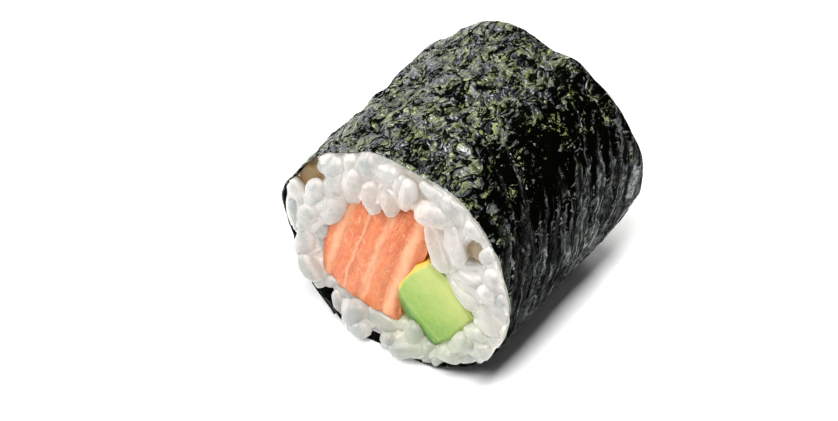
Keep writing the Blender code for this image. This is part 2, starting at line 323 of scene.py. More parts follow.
class Wire:
    """An output socket that takes part in Python sums, each of which adds its Math node."""

    def __init__(self, nodes: "Nodes", socket: bpy.types.NodeSocket) -> None:
        """Wraps a socket of a tree."""
        self.nodes = nodes
        self.socket = socket

    def _maths(self, operation: str, *values: "Wire | float") -> "Wire":
        """The result of one Math node."""
        return self.nodes.add("ShaderNodeMath", {"operation": operation}, dict(enumerate(values)))

    def __add__(self, other: "Wire | float") -> "Wire":
        """self + other."""
        return self._maths("ADD", self, other)

    __radd__ = __add__

    def __sub__(self, other: "Wire | float") -> "Wire":
        """self - other."""
        return self._maths("SUBTRACT", self, other)

    def __rsub__(self, other: "Wire | float") -> "Wire":
        """other - self."""
        return self._maths("SUBTRACT", other, self)

    def __mul__(self, other: "Wire | float") -> "Wire":
        """self * other."""
        return self._maths("MULTIPLY", self, other)

    __rmul__ = __mul__

    def __truediv__(self, other: "Wire | float") -> "Wire":
        """self / other."""
        return self._maths("DIVIDE", self, other)

    def __rtruediv__(self, other: "Wire | float") -> "Wire":
        """other / self."""
        return self._maths("DIVIDE", other, self)

    def __abs__(self) -> "Wire":
        """The size of self."""
        return self._maths("ABSOLUTE", self)

    def rise(self, low: float, high: float) -> "Wire":
        """A smooth rise from 0 to 1.

        Args:
            low: Where it is 0. It may be the larger of the two.
            high: Where it is 1.

        Returns:
            The rise at self.
        """
        settings = {"interpolation_type": "SMOOTHSTEP"}
        inputs = {"Value": self, "From Min": low, "From Max": high, "To Min": 0.0, "To Max": 1.0}
        return self.nodes.add("ShaderNodeMapRange", settings, inputs, "Result")

    def bell(self, middle: "Wire | float", spread: float) -> "Wire":
        """1 where self is middle, and falling smoothly to 0 at spread either side."""
        return abs(self - middle).rise(spread, 0.0)


class Nodes:
    """A node tree, filled by one method that adds any node."""

    def __init__(self, tree: bpy.types.NodeTree) -> None:
        """Takes a tree and empties it."""
        self.tree = tree
        tree.nodes.clear()

    @staticmethod
    def _socket(sockets: bpy.types.bpy_prop_collection, key: str | int) -> bpy.types.NodeSocket:
        """Finds a socket.

        Args:
            sockets: A node's inputs or outputs.
            key: Its number, identifier or name.

        Returns:
            The socket.
        """
        if isinstance(key, int):
            return sockets[key]
        for socket in sockets:
            if socket.identifier == key:
                return socket
        return next(socket for socket in sockets if socket.name == key and socket.enabled)

    def add(
        self,
        kind: str,
        settings: dict[str, object] | None = None,
        inputs: dict[str | int, object] | None = None,
        output: str | int = 0,
    ) -> Wire | None:
        """Adds a node.

        Args:
            kind: The node's type.
            settings: Its own settings, which are set first. "stops" are a ramp's places and colours.
            inputs: A value or a wire for each socket that is used, by number, identifier or name.
            output: The socket to return.

        Returns:
            The chosen output, or None for a node without any.
        """
        node = self.tree.nodes.new(kind)
        for name, value in (settings or {}).items():
            if name == "stops":
                self._set_stops(node.color_ramp, value)
            else:
                setattr(node, name, value)
        for key, value in (inputs or {}).items():
            socket = self._socket(node.inputs, key)
            if isinstance(value, Wire):
                self.tree.links.new(value.socket, socket)
            else:
                socket.default_value = value
        return Wire(self, self._socket(node.outputs, output)) if node.outputs else None

    @staticmethod
    def _set_stops(ramp: bpy.types.ColorRamp, stops: Iterable[tuple[float, Colour]]) -> None:
        """Gives a ramp its stops.

        Args:
            ramp: The ramp.
            stops: The place and colour of each.
        """
        stops = list(stops)
        while len(ramp.elements) < len(stops):
            ramp.elements.new(1.0)
        for element, (place, colour) in zip(ramp.elements, stops):
            element.position = place
            element.color = colour


class Shader(Nodes):
    """The node tree of one material, with places on the roll in millimetres from its axis."""

    def __init__(self, name: str) -> None:
        """Makes an empty material.

        Args:
            name: The material's name.
        """
        self.material = bpy.data.materials.new(name)
        self.material.use_nodes = True
        super().__init__(self.material.node_tree)
        place = self.add("ShaderNodeTexCoord", output="Object")
        move = {"Location": (0.0, 0.0, -ROLL.axis_height / MM), "Scale": (1.0 / MM,) * 3}
        self.place = self.add("ShaderNodeMapping", {}, {"Vector": place, **move})

    def axes(self) -> tuple[Wire, Wire, Wire]:
        """X, Y and Z from the roll's axis, in millimetres."""
        split = self.add("ShaderNodeSeparateXYZ", {}, {0: self.place})
        return tuple(Wire(self, socket) for socket in split.socket.node.outputs)

    def attribute(self, name: str) -> Wire:
        """A number that is stored on the piece's points."""
        return self.add("ShaderNodeAttribute", {"attribute_name": name}, output="Fac")

    def grain(self, size: float, detail: float = 2.0, rough: float = 0.5, place: Wire | None = None) -> Wire:
        """Noise from 0 to 1.

        Args:
            size: The size of its lumps in millimetres.
            detail: How many finer layers it has.
            rough: How strong the finer layers are.
            place: Where it is read, if not at the plain place.

        Returns:
            The noise.
        """
        inputs = {"Vector": place or self.place, "Scale": 1.0 / size, "Detail": detail, "Roughness": rough}
        return self.add("ShaderNodeTexNoise", {}, inputs, "Fac")

    def mix(self, share: Wire | float, first: Wire | Colour, second: Wire | Colour) -> Wire:
        """Blends two colours: first where share is 0, and second where it is 1."""
        inputs = {"Factor_Float": share, "A_Color": first, "B_Color": second}
        return self.add("ShaderNodeMix", {"data_type": "RGBA"}, inputs, "Result_Color")

    def vector(self, operation: str, *values: Wire | tuple[float, float, float], **named: float) -> Wire:
        """The result of one Vector Math node."""
        inputs: dict[str | int, object] = dict(enumerate(values))
        return self.add("ShaderNodeVectorMath", {"operation": operation}, {**inputs, **named}, "Vector")

    def bump(self, height: Wire, distance: float, strength: float = 1.0) -> Wire:
        """A normal that follows a height.

        Args:
            height: The height, from 0 to 1.
            distance: The depth that 1 stands for.
            strength: How much of it shows.

        Returns:
            The normal.
        """
        inputs = {"Height": height, "Distance": distance, "Strength": strength}
        return self.add("ShaderNodeBump", {}, inputs, "Normal")

    def surface(self, inputs: dict[str | int, object]) -> Wire:
        """One Principled shader, with a value or a wire for each socket that is used."""
        return self.add("ShaderNodeBsdfPrincipled", {}, inputs, "BSDF")

    def finish(self, surface: Wire) -> bpy.types.Material:
        """Ends the tree in a surface, and returns the material."""
        self.add("ShaderNodeOutputMaterial", {}, {"Surface": surface})
        return self.material

    def finish_plain(self, inputs: dict[str | int, object]) -> bpy.types.Material:
        """Ends the tree in one Principled shader, and returns the material."""
        return self.finish(self.surface(inputs))


# ---------------------------------------------------------------------------------------------
# Finishes


@dataclass(frozen=True)
class NoriFinish:
    """Moist pressed seaweed: shiny black plates and clusters of olive flecks with painted glints, over a
    matte black ground that also paints shade in the valleys, the cracks, the inner side and partly the dark
    side.
    """

    ground: Colour = srgb(3, 4, 2)
    plate: Colour = srgb(14, 16, 13)
    olive: Colour = srgb(58, 69, 18)
    # Painted glints on the flecks
    glint_fleck: Colour = srgb(156, 168, 90)
    silver: Colour = srgb(132, 137, 136)
    cut: Colour = srgb(150, 152, 134)
    gloss: Colour = srgb(246, 250, 255)
    # The sizes of its marks in millimetres
    crease: float = 1.6
    stroke: float = 0.66
    chip: float = 0.36
    fibre: float = 0.25
    calm_patch: float = 1.7
    dab: float = 1.3
    patch: float = 2.6
    streak: float = 2.1
    thread: float = 0.945
    finger: float = 1.3
    broad_wave: float = 1.9
    drape_wave: float = 1.1
    # How they are drawn out along the roll, lean, and wind round it
    draw: float = 0.5
    lean: float = 0.5
    winding: float = 5.0
    long_winding: float = 11.0
    # How far they sway in millimetres, and the size of the swirls that they sway in
    sway: tuple[float, float] = (2.6, 3.0)
    curl: tuple[float, float] = (1.3, 1.1)
    wet_sway: tuple[float, float] = (1.2, 2.2)
    finger_sway: tuple[float, float] = (0.7, 2.2)
    relief_depth: float = 1.0 * MM

    def make(self) -> bpy.types.Material:
        """Builds the material.

        Returns:
            The material.
        """
        shader = Shader("nori_sheet")
        marks = NoriMarks(self, shader)
        flake_surface = shader.surface(
            {
                "Base Color": marks.colour(),
                "Metallic": marks.drawn,
                "Roughness": marks.fibre * 0.14 + 0.25,
                "Normal": shader.bump(marks.relief(), self.relief_depth),
                "IOR": 1.85,
                "Specular IOR Level": 0.9,
                "Specular Tint": self.gloss,
            }
        )
        ground = shader.surface({"Base Color": self.ground, "Roughness": 0.9, "Specular IOR Level": 0.0})
        layers = {0: marks.shine(), 1: ground, 2: flake_surface}
        return shader.finish(shader.add("ShaderNodeMixShader", {}, layers))


class NoriMarks:
    """The marks of the sheet. Each is a number from 0 to about 1 that varies over it."""

    def __init__(self, finish: NoriFinish, shader: Shader) -> None:
        """Adds every mark to the material's tree.

        Args:
            finish: The looks of the sheet.
            shader: The tree.
        """
        self.finish = finish
        self.shader = shader
        self.bare = shader.attribute("bare")
        self.sleek = shader.attribute("sleek")
        self.edge = shader.attribute("rim").rise(0.55, 0.95)
        self.around = shader.attribute("around")
        _x, self.along, _z = shader.axes()
        self._draw_plates()
        self._draw_film()

    def _folds(self, size: float, place: Wire, detail: float = 1.0) -> Wire:
        """Rounded folds of one size in millimetres: 0 in the sharp valleys, and about 0.5 on top."""
        return abs(self.shader.grain(size, detail, 0.5, place) - 0.5) * 2.0

    def _swayed(self, place: Wire, sway: tuple[float, float]) -> Wire:
        """Bends a pattern in smooth swirls.

        Args:
            place: Where the pattern is read.
            sway: How far the swirls bend it, and their size, in millimetres.

        Returns:
            The bent places.
        """
        reach, size = sway
        inputs = {"Vector": self.shader.place, "Scale": 1.0 / size, "Detail": 1.0}
        warp = self.shader.add("ShaderNodeTexNoise", {}, inputs, "Color")
        warp = self.shader.vector("SUBTRACT", warp, (0.5, 0.5, 0.5))
        return self.shader.vector("ADD", place, self.shader.vector("SCALE", warp, Scale=reach))

    def _unrolled(self, around: Wire, along: Wire) -> Wire:
        """Places on the sheet laid flat, from round the roll and along it."""
        return self.shader.add("ShaderNodeCombineXYZ", {}, {0: around, 1: along})

    def _draw_plates(self) -> None:
        """Adds the plates between sharp creases, the strokes that break them, and clusters of flecks."""
        finish, shader = self.finish, self.shader
        flowing = self._swayed(self._unrolled(self.around, self.along * finish.draw), finish.sway)
        curled = self._swayed(flowing, finish.curl)
        self.creases = self._folds(finish.crease, flowing, 3.0)
        self.strokes = self._folds(finish.stroke, curled, 2.0)
        self.chips = self._folds(finish.chip, curled)
        self.fibre = shader.grain(finish.fibre, 2.0, 0.6)
        self.mottle = shader.grain(finish.patch, 2.0)
        self.calm = shader.grain(finish.calm_patch, 1.0).rise(0.46, 0.58)
        dabs = shader.grain(finish.dab, 3.0, 0.6, flowing)
        # Fewer olive patches and flecks on the dark side, which is partly painted shade.
        dabs = dabs + (self.strokes - 0.25) * 0.3 + (1.0 - self.bare) * 0.05
        self.cluster = dabs.rise(0.48, 0.58)
        self.crowd = (self.mottle + (self.cluster - 0.5) * 0.12).rise(0.43, 0.6)
        spared = self.bare * (1.0 - self.crowd) * 0.2
        self.flecks = (self.chips - spared).rise(0.12, 0.26) * self.cluster

    def _draw_film(self) -> None:
        """Adds the wet film, which ends in fingers, and the streaks that are drawn out in it."""
        finish, shader = self.finish, self.shader
        leaning = self.along - self.around * finish.lean
        wound = self._swayed(self._unrolled(self.around / finish.winding, leaning), finish.wet_sway)
        long = self._swayed(self._unrolled(self.around / finish.long_winding, leaning), finish.finger_sway)
        lines = self._folds(finish.streak, wound).rise(0.1, 0.0)
        self.threads = self._folds(finish.thread, wound).rise(0.1, 0.0)
        self.broad = shader.grain(finish.broad_wave, 3.0, 0.6, wound)
        self.drape = shader.grain(finish.drape_wave, 2.0, 0.5, wound).rise(0.42, 0.66)
        fingers = shader.grain(finish.finger, 2.0, 0.5, long)
        ragged = (self.broad - 0.5) * 1.4
        self.film = (self.sleek * 1.9 + ragged + (fingers - 0.5) * 4.6 - 0.6).rise(0.0, 0.6)
        inside = lines * self.mottle.rise(0.42, 0.55) + self.threads * 0.4 * self.broad.rise(0.45, 0.6)
        past = lines * (1.0 - self.film) * self.sleek.rise(0.0, 0.15) * self.mottle.rise(0.54, 0.6)
        self.drawn = inside * self.film + past * 0.7

    def _plate_shine(self) -> Wire:
        """How much of the light the plates and flecks mirror.

        Returns:
            The share, which falls where the sheet is worn, bare or cracked.
        """
        # The dark side has fewer shiny plates, partly the sheet's patchy sheen and partly painted shade; the
        # matte black in the crease valleys and cracks is painted shade.
        matte_patches = self.bare * (1.0 - self.film) * 0.19 + (self.mottle - 0.5) * (self.bare * 0.5 + 0.3)
        soft = self.calm * (1.0 - self.bare) * 0.5
        whole = (self.strokes - self.bare * 0.1 + soft).rise(0.05, 0.19)
        plates = (self.creases - matte_patches).rise(0.0, 0.1) * whole
        plates = plates * 0.95 + 0.05 * (1.0 - self.bare)
        plates = plates * (self.shader.attribute("crack").rise(0.7, 0.2) * 0.5 + 0.5)
        sparks = self.flecks * self.bare * (self.crowd * 0.85 + 0.07) * self.sleek.rise(0.2, 0.02)
        return (plates + sparks).rise(0.0, 1.0)

    def _film_shine(self) -> Wire:
        """How much of the light the wet film mirrors.

        Returns:
            The share, which grows towards the far end.
        """
        shine = 0.04 + self.drape * 0.52 + self.drawn * 1.5 + self.threads * 0.12
        shine = shine * (1.0 - self.sleek * 0.45) * (self.along.rise(-13.0, 10.0) * 0.9 + 0.6)
        # Painted shade: the film turns matte black in the crease and stroke valleys.
        pits = self.creases.rise(0.0, 0.05) * self.strokes.rise(0.0, 0.1)
        return shine * (pits * 0.8 + 0.2) + self.flecks * 0.05

    def shine(self) -> Wire:
        """How much of the light is mirrored.

        Returns:
            The share of the shiny surface over the matte ground, which is small on the inner side, where the
            matte black paints the shade inside the wrap.
        """
        shader = self.shader
        across_axis = shader.vector("MULTIPLY", shader.place, (1.0, 0.0, 1.0))
        facing = {0: across_axis, 1: shader.add("ShaderNodeTexCoord", output="Normal")}
        # Painted shade: the inner side of the sheet turns matte black.
        inner = shader.add("ShaderNodeVectorMath", {"operation": "DOT_PRODUCT"}, facing, "Value")
        inner = inner.rise(-4.0, -9.0)
        shine = self._plate_shine() * (1.0 - self.film) + self.film * self._film_shine()
        return shine * (1.0 - inner * 0.85) * (1.0 - shader.attribute("dull") * 0.7) + self.edge

    def colour(self) -> Wire:
        """The colour of the shiny surface.

        Returns:
            The colour: black plates, olive clusters with bright flecks that are painted glints, silver
                streaks, pale cut edges.
        """
        finish, shader = self.finish, self.shader
        colour = shader.mix(self.cluster * (1.0 - self.film * 0.7), finish.plate, finish.olive)
        # The bright flecks are painted glints.
        glint_share = self.flecks * (1.0 - self.film * 0.6) * (self.fibre.rise(0.35, 0.65) * 0.75 + 0.2)
        colour = shader.mix(glint_share, colour, finish.glint_fleck)
        colour = shader.mix(self.drawn, colour, finish.silver)
        return shader.mix(self.edge, colour, finish.cut)

    def relief(self) -> Wire:
        """The height of the surface.

        Returns:
            The height, as a share of the relief's depth.
        """
        rough = self.creases.rise(0.0, 0.2) * 0.14
        rough = rough + self.strokes.rise(0.0, 0.2) * (0.09 - self.calm * 0.07)
        rough = rough + self.creases * 0.25 + self.chips.rise(0.0, 0.3) * self.cluster * 0.06
        rough = rough + self.mottle * 0.4
        smooth = self.drawn * 0.14 + self.broad * 0.4 + self.drape * 0.08
        return rough * (1.0 - self.film * 0.9) + smooth * self.film + self.fibre * 0.02


@dataclass(frozen=True)
class RiceFinish:
    """Moist cooked rice, tinted pink near the salmon and green near the avocado, with a painted glow that
    stands in for light through the grains.
    """

    name: str = "rice_grain"
    white: Colour = srgb(166, 163, 159)
    cool: Colour = srgb(118, 123, 122)
    pink: Colour = srgb(178, 137, 115)
    green: Colour = srgb(143, 150, 118)
    hollow: Colour = srgb(100, 81, 50)
    # The painted glow: emission that stands in for light through the grains, strongest in the clefts, where
    # it lifts the shade.
    painted_glow: float = 1.25
    least_painted_glow: float = 0.4

    def make(self) -> bpy.types.Material:
        """Builds the material.

        Returns:
            The material.
        """
        shader = Shader(self.name)
        front, cleft = shader.attribute("front"), shader.attribute("cleft")
        speck = shader.grain(0.34, 3.0, 0.6)
        cloud = shader.grain(1.5, 2.0)
        tone = shader.attribute("tone") * 0.6 + (cloud - 0.5) * 0.8 - (speck - 0.5) * 0.5
        # Painted light: the middles that face out of the cut are greyer and the sides paler, standing in for
        # light through the grains' rims; the clefts are whiter, which lifts the shade between the grains.
        tone = tone + (front.rise(0.2, 1.0) * 0.5 - cleft * 0.5)
        colour = shader.mix(tone.rise(0.1, 1.1), self.white, self.cool)
        colour = shader.mix(shader.attribute("near_salmon"), colour, self.pink)
        colour = shader.mix(shader.attribute("near_avocado"), colour, self.green)
        colour = shader.mix(shader.attribute("sunk"), colour, self.hollow)
        # The painted glow, strongest in the clefts.
        light = shader.mix(cleft * (1.0 - self.least_painted_glow) + self.least_painted_glow, (0.0, 0.0, 0.0, 1.0), colour)
        return shader.finish_plain(
            {
                "Base Color": colour,
                "Roughness": speck * 0.2 + 0.2,
                "Subsurface Weight": 1.0,
                "Subsurface Radius": (1.0, 0.92, 0.85),
                "Subsurface Scale": 2.6 * MM,
                "Normal": shader.bump(speck * 0.3 + cloud, 0.1 * MM, 0.8),
                "IOR": 1.38,
                "Emission Color": light,
                "Emission Strength": self.painted_glow,
            }
        )


@dataclass(frozen=True)
class Band:
    """A band of fat: its place across the flakes, its half width and its strength, in millimetres."""

    place: float
    half_width: float
    strength: float


@dataclass(frozen=True)
class SalmonFinish:
    """Raw salmon: orange flakes between soft pale bands of fat, moist."""

    deep: Colour = srgb(180, 82, 22)
    flesh: Colour = srgb(188, 96, 34)
    light: Colour = srgb(199, 118, 60)
    fat: Colour = srgb(212, 150, 108)
    slope: float = 0.3
    bands: tuple[Band, ...] = (
        Band(-7.9, 1.3, 0.8),
        Band(-6.2, 0.3, 0.25),
        Band(-5.15, 0.38, 0.8),
        Band(-3.9, 0.3, 0.25),
        Band(-2.6, 0.95, 0.8),
        Band(-0.8, 0.3, 0.25),
        Band(1.05, 1.25, 0.95),
        Band(3.2, 0.5, 0.3),
    )

    def make(self) -> bpy.types.Material:
        """Builds the material.

        Returns:
            The material.
        """
        shader = Shader("salmon_flesh")
        x, y, z = shader.axes()
        wander = (shader.grain(4.5, 2.0) - 0.5) * 0.9 + (shader.grain(1.0, 3.0) - 0.5) * 0.6
        along = x - z * self.slope + wander
        fat: Wire | float = 0.0
        for band in self.bands:
            fat = along.bell(band.place, band.half_width) * band.strength + fat
        fat = fat * (shader.grain(1.8, 3.0) * 1.0 + 0.4)
        across = shader.add("ShaderNodeCombineXYZ", {}, {0: along * 1.5, 1: z * 0.5, 2: y})
        streaks = shader.grain(0.6, 4.0, 0.65, across)
        speck = shader.grain(0.2, 2.0, 0.5)
        lengthwise = shader.add("ShaderNodeCombineXYZ", {}, {0: along, 1: z * 0.35 + x * 0.2, 2: y})
        veins = abs(shader.grain(1.3, 2.0, 0.5, lengthwise) - 0.5).rise(0.035, 0.0)
        veins = veins * shader.grain(1.2, 2.0).rise(0.45, 0.6)
        mottle = shader.grain(0.5, 3.0, 0.6)
        patch = shader.grain(2.6, 2.0)
        colour = shader.mix((patch * 2.0 - z * 0.05 + x * 0.04).rise(0.55, 1.5), self.deep, self.flesh)
        colour = shader.mix((streaks * 0.6 + mottle * 0.4).rise(0.42, 0.66) * 0.7, colour, self.light)
        colour = shader.mix(fat.rise(0.05, 1.0), colour, self.fat)
        colour = shader.mix(speck.rise(0.58, 0.72) * 0.45 + veins * 0.5, colour, self.fat)
        normal = shader.bump(streaks * 0.5 + speck * 0.4 + mottle * 0.4 + fat * 0.5, 0.22 * MM, 0.6)
        return shader.finish_plain(
            {
                "Base Color": colour,
                "Roughness": streaks * 0.2 + 0.3,
                "Subsurface Weight": 0.35,
                "Subsurface Radius": (1.0, 0.35, 0.2),
                "Subsurface Scale": 0.9 * MM,
                "Coat Weight": 0.15,
                "Coat Roughness": 0.2,
                "Normal": normal,
            }
        )


@dataclass(frozen=True)
class AvocadoFinish:
    """Avocado: yellow by the stone, then pale, and green towards the skin."""

    yellow: Colour = srgb(210, 164, 54)
    pale: Colour = srgb(162, 173, 92)
    middle: Colour = srgb(122, 152, 54)
    green: Colour = srgb(84, 132, 34)
    dark: Colour = srgb(56, 100, 24)

    def make(self) -> bpy.types.Material:
        """Builds the material.

        Returns:
            The material.
        """
        shader = Shader("avocado_flesh")
        x, _y, z = shader.axes()
        cloud = (shader.grain(2.4, 3.0) - 0.5) * 3.4 + (shader.grain(0.6, 4.0, 0.65) - 0.5) * 1.8
        depth = x * -0.5 - z * 0.86 + cloud
        stops = ((0.0, self.pale), (0.45, self.middle), (0.78, self.green), (1.0, self.green))
        ramp = shader.add("ShaderNodeValToRGB", {"stops": stops}, {"Fac": (depth + 2.6) / 11.0})
        run = (x - 1.9) * 0.42 + (z + 1.5) * 0.91
        bow = (1.0 - run * run / 21.0) * 0.75
        from_stone = x * 0.91 - z * 0.42 - 2.35 + bow + (shader.grain(0.9, 2.0) - 0.5) * 0.4
        from_skin = x * 0.66 + z * 0.75 + 4.37
        colour = shader.mix((from_stone - run * 0.13).rise(0.62, 0.2), ramp, self.yellow)
        # Painted highlight: a pale line along the ridge of the facet by the skin.
        facet = (from_skin - 1.5 + (shader.grain(1.4, 2.0) - 0.5) * 0.8).bell(0.0, 0.28)
        colour = shader.mix(facet * 0.3, colour, self.pale)
        shade = from_skin.rise(1.3, 0.0) * from_stone.rise(0.0, 0.8)
        colour = shader.mix(shade * 0.8, colour, self.dark)
        colour = shader.mix(shader.grain(0.4, 3.0, 0.6).rise(0.54, 0.74) * 0.35, colour, self.pale)
        grain = shader.grain(0.6, 4.0, 0.6)
        return shader.finish_plain(
            {
                "Base Color": colour,
                "Roughness": grain * 0.2 + 0.36,
                "Subsurface Weight": 0.25,
                "Subsurface Radius": (0.8, 1.0, 0.3),
                "Subsurface Scale": 0.8 * MM,
                "Coat Weight": 0.08,
                "Coat Roughness": 0.3,
                "Normal": shader.bump(grain, 0.12 * MM, 0.7),
            }
        )


# ---------------------------------------------------------------------------------------------
# The wrap


@dataclass
class NoriWrap:
    """The sheet of seaweed, rolled up with its end lying over its start."""

    start: float = 205.0
    overlap: float = 30.0
    overlap_gap: float = 0.12 * MM
    lift_run: float = 16.0
    columns: int = 380
    rows: int = 114
    thickness: float = 0.22 * MM
    rim_wave: float = 0.2 * MM
    rim_calm: float = 3.0 * MM
    rim_middle: float = 40.0
    rim_spread: float = 52.0
    far_marks: tuple[MatMark, ...] = (
        MatMark(6.0, 0.68 * MM, 17.0),
        MatMark(82.0, -0.85 * MM, 12.0),
        MatMark(116.0, 0.45 * MM, 9.0),
        MatMark(138.0, -0.5 * MM, 9.0),
    )
    fold_height: float = 0.62 * MM
    fold_pitch: float = 2.8 * MM
    fold_draw: float = 0.6
    fold_bend: float = 1.1 * MM
    bend_offsets: tuple[float, float, float] = (41.0, 53.0, 67.0)
    crack_depth: float = 0.18 * MM
    crack_pitch: float = 4.6 * MM
    wrinkle_height: float = 0.26 * MM
    wrinkle_width: float = 1.15 * MM
    wrinkle_stretch: float = 5.5
    wrinkle_lean: float = 0.5
    sleek_middle: float = -18.0
    sleek_spread: float = 46.0
    # Where the dark side lies, which is partly painted shade
    dark_side_middle: float = 36.0
    dark_side_spread: float = 28.0
    rim_cover: float = 0.45
    dull_middle: float = 232.0
    dull_spread: float = 56.0

    def crumple(self, points: np.ndarray) -> np.ndarray:
        """Crumpled folds that wander every way over the sheet.

        Args:
            points: Places round the axis.

        Returns:
            Heights from about -0.5 to 0.5.
        """
        pitch = self.fold_pitch
        bend = np.stack([noise_at(points, 1.5 * pitch, offset) for offset in self.bend_offsets], axis=1)
        bent = points * (1.0, self.fold_draw, 1.0) + bend * self.fold_bend
        broad = np.clip(np.abs(noise_at(bent, pitch, 2.0)) * 2.6, 0.0, 1.0) ** 0.7
        fine = np.clip(np.abs(noise_at(bent, 0.42 * pitch, 5.0)) * 2.6, 0.0, 1.0) ** 0.7
        return 0.55 * broad + 0.3 * fine + 0.3 * noise_at(bent, 0.7 * pitch, 11.0) - 0.5

    def cracks(self, points: np.ndarray) -> np.ndarray:
        """Long creases that wander over the sheet.

        Args:
            points: Places round the axis.

        Returns:
            How deep in a crease each lies, from 0 to 1.
        """
        bend = 0.5 * MM * noise_at(points, 0.9 * MM, 12.0)[:, None] * (1.0, -1.0, 1.0)
        line = smoothstep(0.09, 0.0, np.abs(noise_at(points + bend, self.crack_pitch, 21.0)))
        return line * smoothstep(-0.12, 0.12, noise_at(points, 3.1 * MM, 27.0))

    def wrinkles(self, angle: np.ndarray, y: np.ndarray) -> np.ndarray:
        """Long folds that run round the roll.

        Args:
            angle: Degrees round the axis, unrolled.
            y: Places along the axis.

        Returns:
            Heights from 0 to 1.
        """
        around = np.radians(angle) * ROLL.radius
        leaning = y - around * self.wrinkle_lean
        flat = np.stack((around / self.wrinkle_stretch, leaning, np.zeros_like(y)), axis=1)
        flat[:, 1] += 0.8 * MM * noise_at(flat, 2.4 * self.wrinkle_width, 31.0)
        broad = 1.0 - np.abs(noise_at(flat, self.wrinkle_width, 3.0)) * 2.2
        fine = 1.0 - np.abs(noise_at(flat, 0.5 * self.wrinkle_width, 17.0)) * 2.2
        return 0.7 * np.clip(broad, 0.0, 1.0) ** 2 + 0.3 * np.clip(fine, 0.0, 1.0) ** 2

    @staticmethod
    def near(angle: np.ndarray, middle: float, spread: float) -> np.ndarray:
        """1 where an angle is the middle one, falling to 0 beyond the spread."""
        return np.exp(-((turn_from(middle, angle) / spread) ** 4))

    def surface(self) -> tuple[np.ndarray, dict[str, np.ndarray]]:
        """The sheet's outer side.

        Returns:
            Its points, row by row across the sheet, and the numbers that its material reads.
        """
        turned = np.linspace(0.0, 360.0 + self.overlap, self.columns + 1)
        across = np.linspace(-0.5, 0.5, self.rows + 1)
        turned, across = (grid.ravel() for grid in np.meshgrid(turned, across))
        angle = self.start + turned
        lift = smoothstep(360.0 - self.lift_run, 360.0, turned) * (ROLL.sheet + self.overlap_gap)
        y = across * ROLL.length
        far = smoothstep(2.0 * MM, ROLL.length / 2.0, y)
        outer = ROLL.wrap_radius(angle) + lift + far * sum(mark.rise_at(angle) for mark in self.far_marks)
        floor = -ROLL.axis_height
        x, z = ROLL.section(angle, outer, floor)
        held = smoothstep(0.0, 1.5 * MM, z - floor)
        points = np.stack((x, y, z), axis=1)
        drift = 14.0 * noise_at(points, 7.0 * MM, 6.0)
        sleek = self.near(angle + drift, self.sleek_middle, self.sleek_spread)
        # The dark side: fewer shiny plates and olive patches, partly the sheet's patchy sheen and partly
        # painted shade.
        bare = self.near(angle + drift, self.dark_side_middle, self.dark_side_spread)
        bare *= 1.0 - self.rim_cover * smoothstep(6.0 * MM, 13.0 * MM, np.abs(y))
        crack = self.cracks(points) * (1.0 - 0.8 * sleek)
        folds = self.fold_height * self.crumple(points) * (1.0 - 0.65 * sleek) - self.crack_depth * crack
        folds += self.wrinkle_height * (self.wrinkles(angle, y) - 0.3) * (0.15 + 0.85 * sleek)
        folds *= 0.35 + 0.65 * smoothstep(0.0, self.rim_calm, ROLL.length / 2.0 - np.abs(y))
        raised = outer + held * (ROLL.crinkle(points) + folds)
        x, z = ROLL.section(angle, raised, floor)
        wave = self.rim_wave * np.sin(np.radians(angle) * 5.0) * across * 2.0
        around = np.radians(angle) * ROLL.radius / MM
        rim = (np.abs(across) > 0.499) * self.near(angle, self.rim_middle, self.rim_spread)
        dull = self.near(angle + drift, self.dull_middle, self.dull_spread)
        numbers = {"sleek": sleek, "bare": bare, "around": around, "crack": crack, "rim": rim, "dull": dull}
        return np.stack((x, y + wave, z), axis=1), numbers

    def inner_reach(self) -> np.ndarray:
        """How far the rice may reach.

        Returns:
            The distance from the axis, in a row for each row of the sheet from the shown end to the
            far one, and a column for each whole degree from -180 to 180.
        """
        points, _numbers = self.surface()
        sheet = points.reshape(self.rows + 1, self.columns + 1, 3)
        first_turn = sheet[:, : round(self.columns * 360.0 / (360.0 + self.overlap))]
        angle = np.degrees(np.arctan2(first_turn[:, :, 2], first_turn[:, :, 0]))
        reach = np.hypot(first_turn[:, :, 0], first_turn[:, :, 2]) - self.thickness
        whole = np.arange(-180.0, 181.0)
        return np.array([np.interp(whole, row, far, period=360.0) for row, far in zip(angle, reach)])

    def build(self) -> bpy.types.Object:
        """Makes the wrap.

        Returns:
            The finished piece.
        """
        points, numbers = self.surface()
        width = self.columns + 1
        faces = [
            (start, start + width, start + 1 + width, start + 1)
            for row in range(self.rows)
            for start in range(row * width, row * width + self.columns)
        ]
        wrap = new_mesh_object("nori_wrap", points, faces)
        for name, values in numbers.items():
            store(wrap.data, name, values)
        wrap.data.materials.append(NoriFinish().make())
        solid = wrap.modifiers.new("thickness", "SOLIDIFY")
        solid.thickness = self.thickness
        solid.offset = -1.0
        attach(wrap, BODY)
        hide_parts("nori")
        return wrap


# ---------------------------------------------------------------------------------------------
# The fillings

Corner = tuple[float, float]


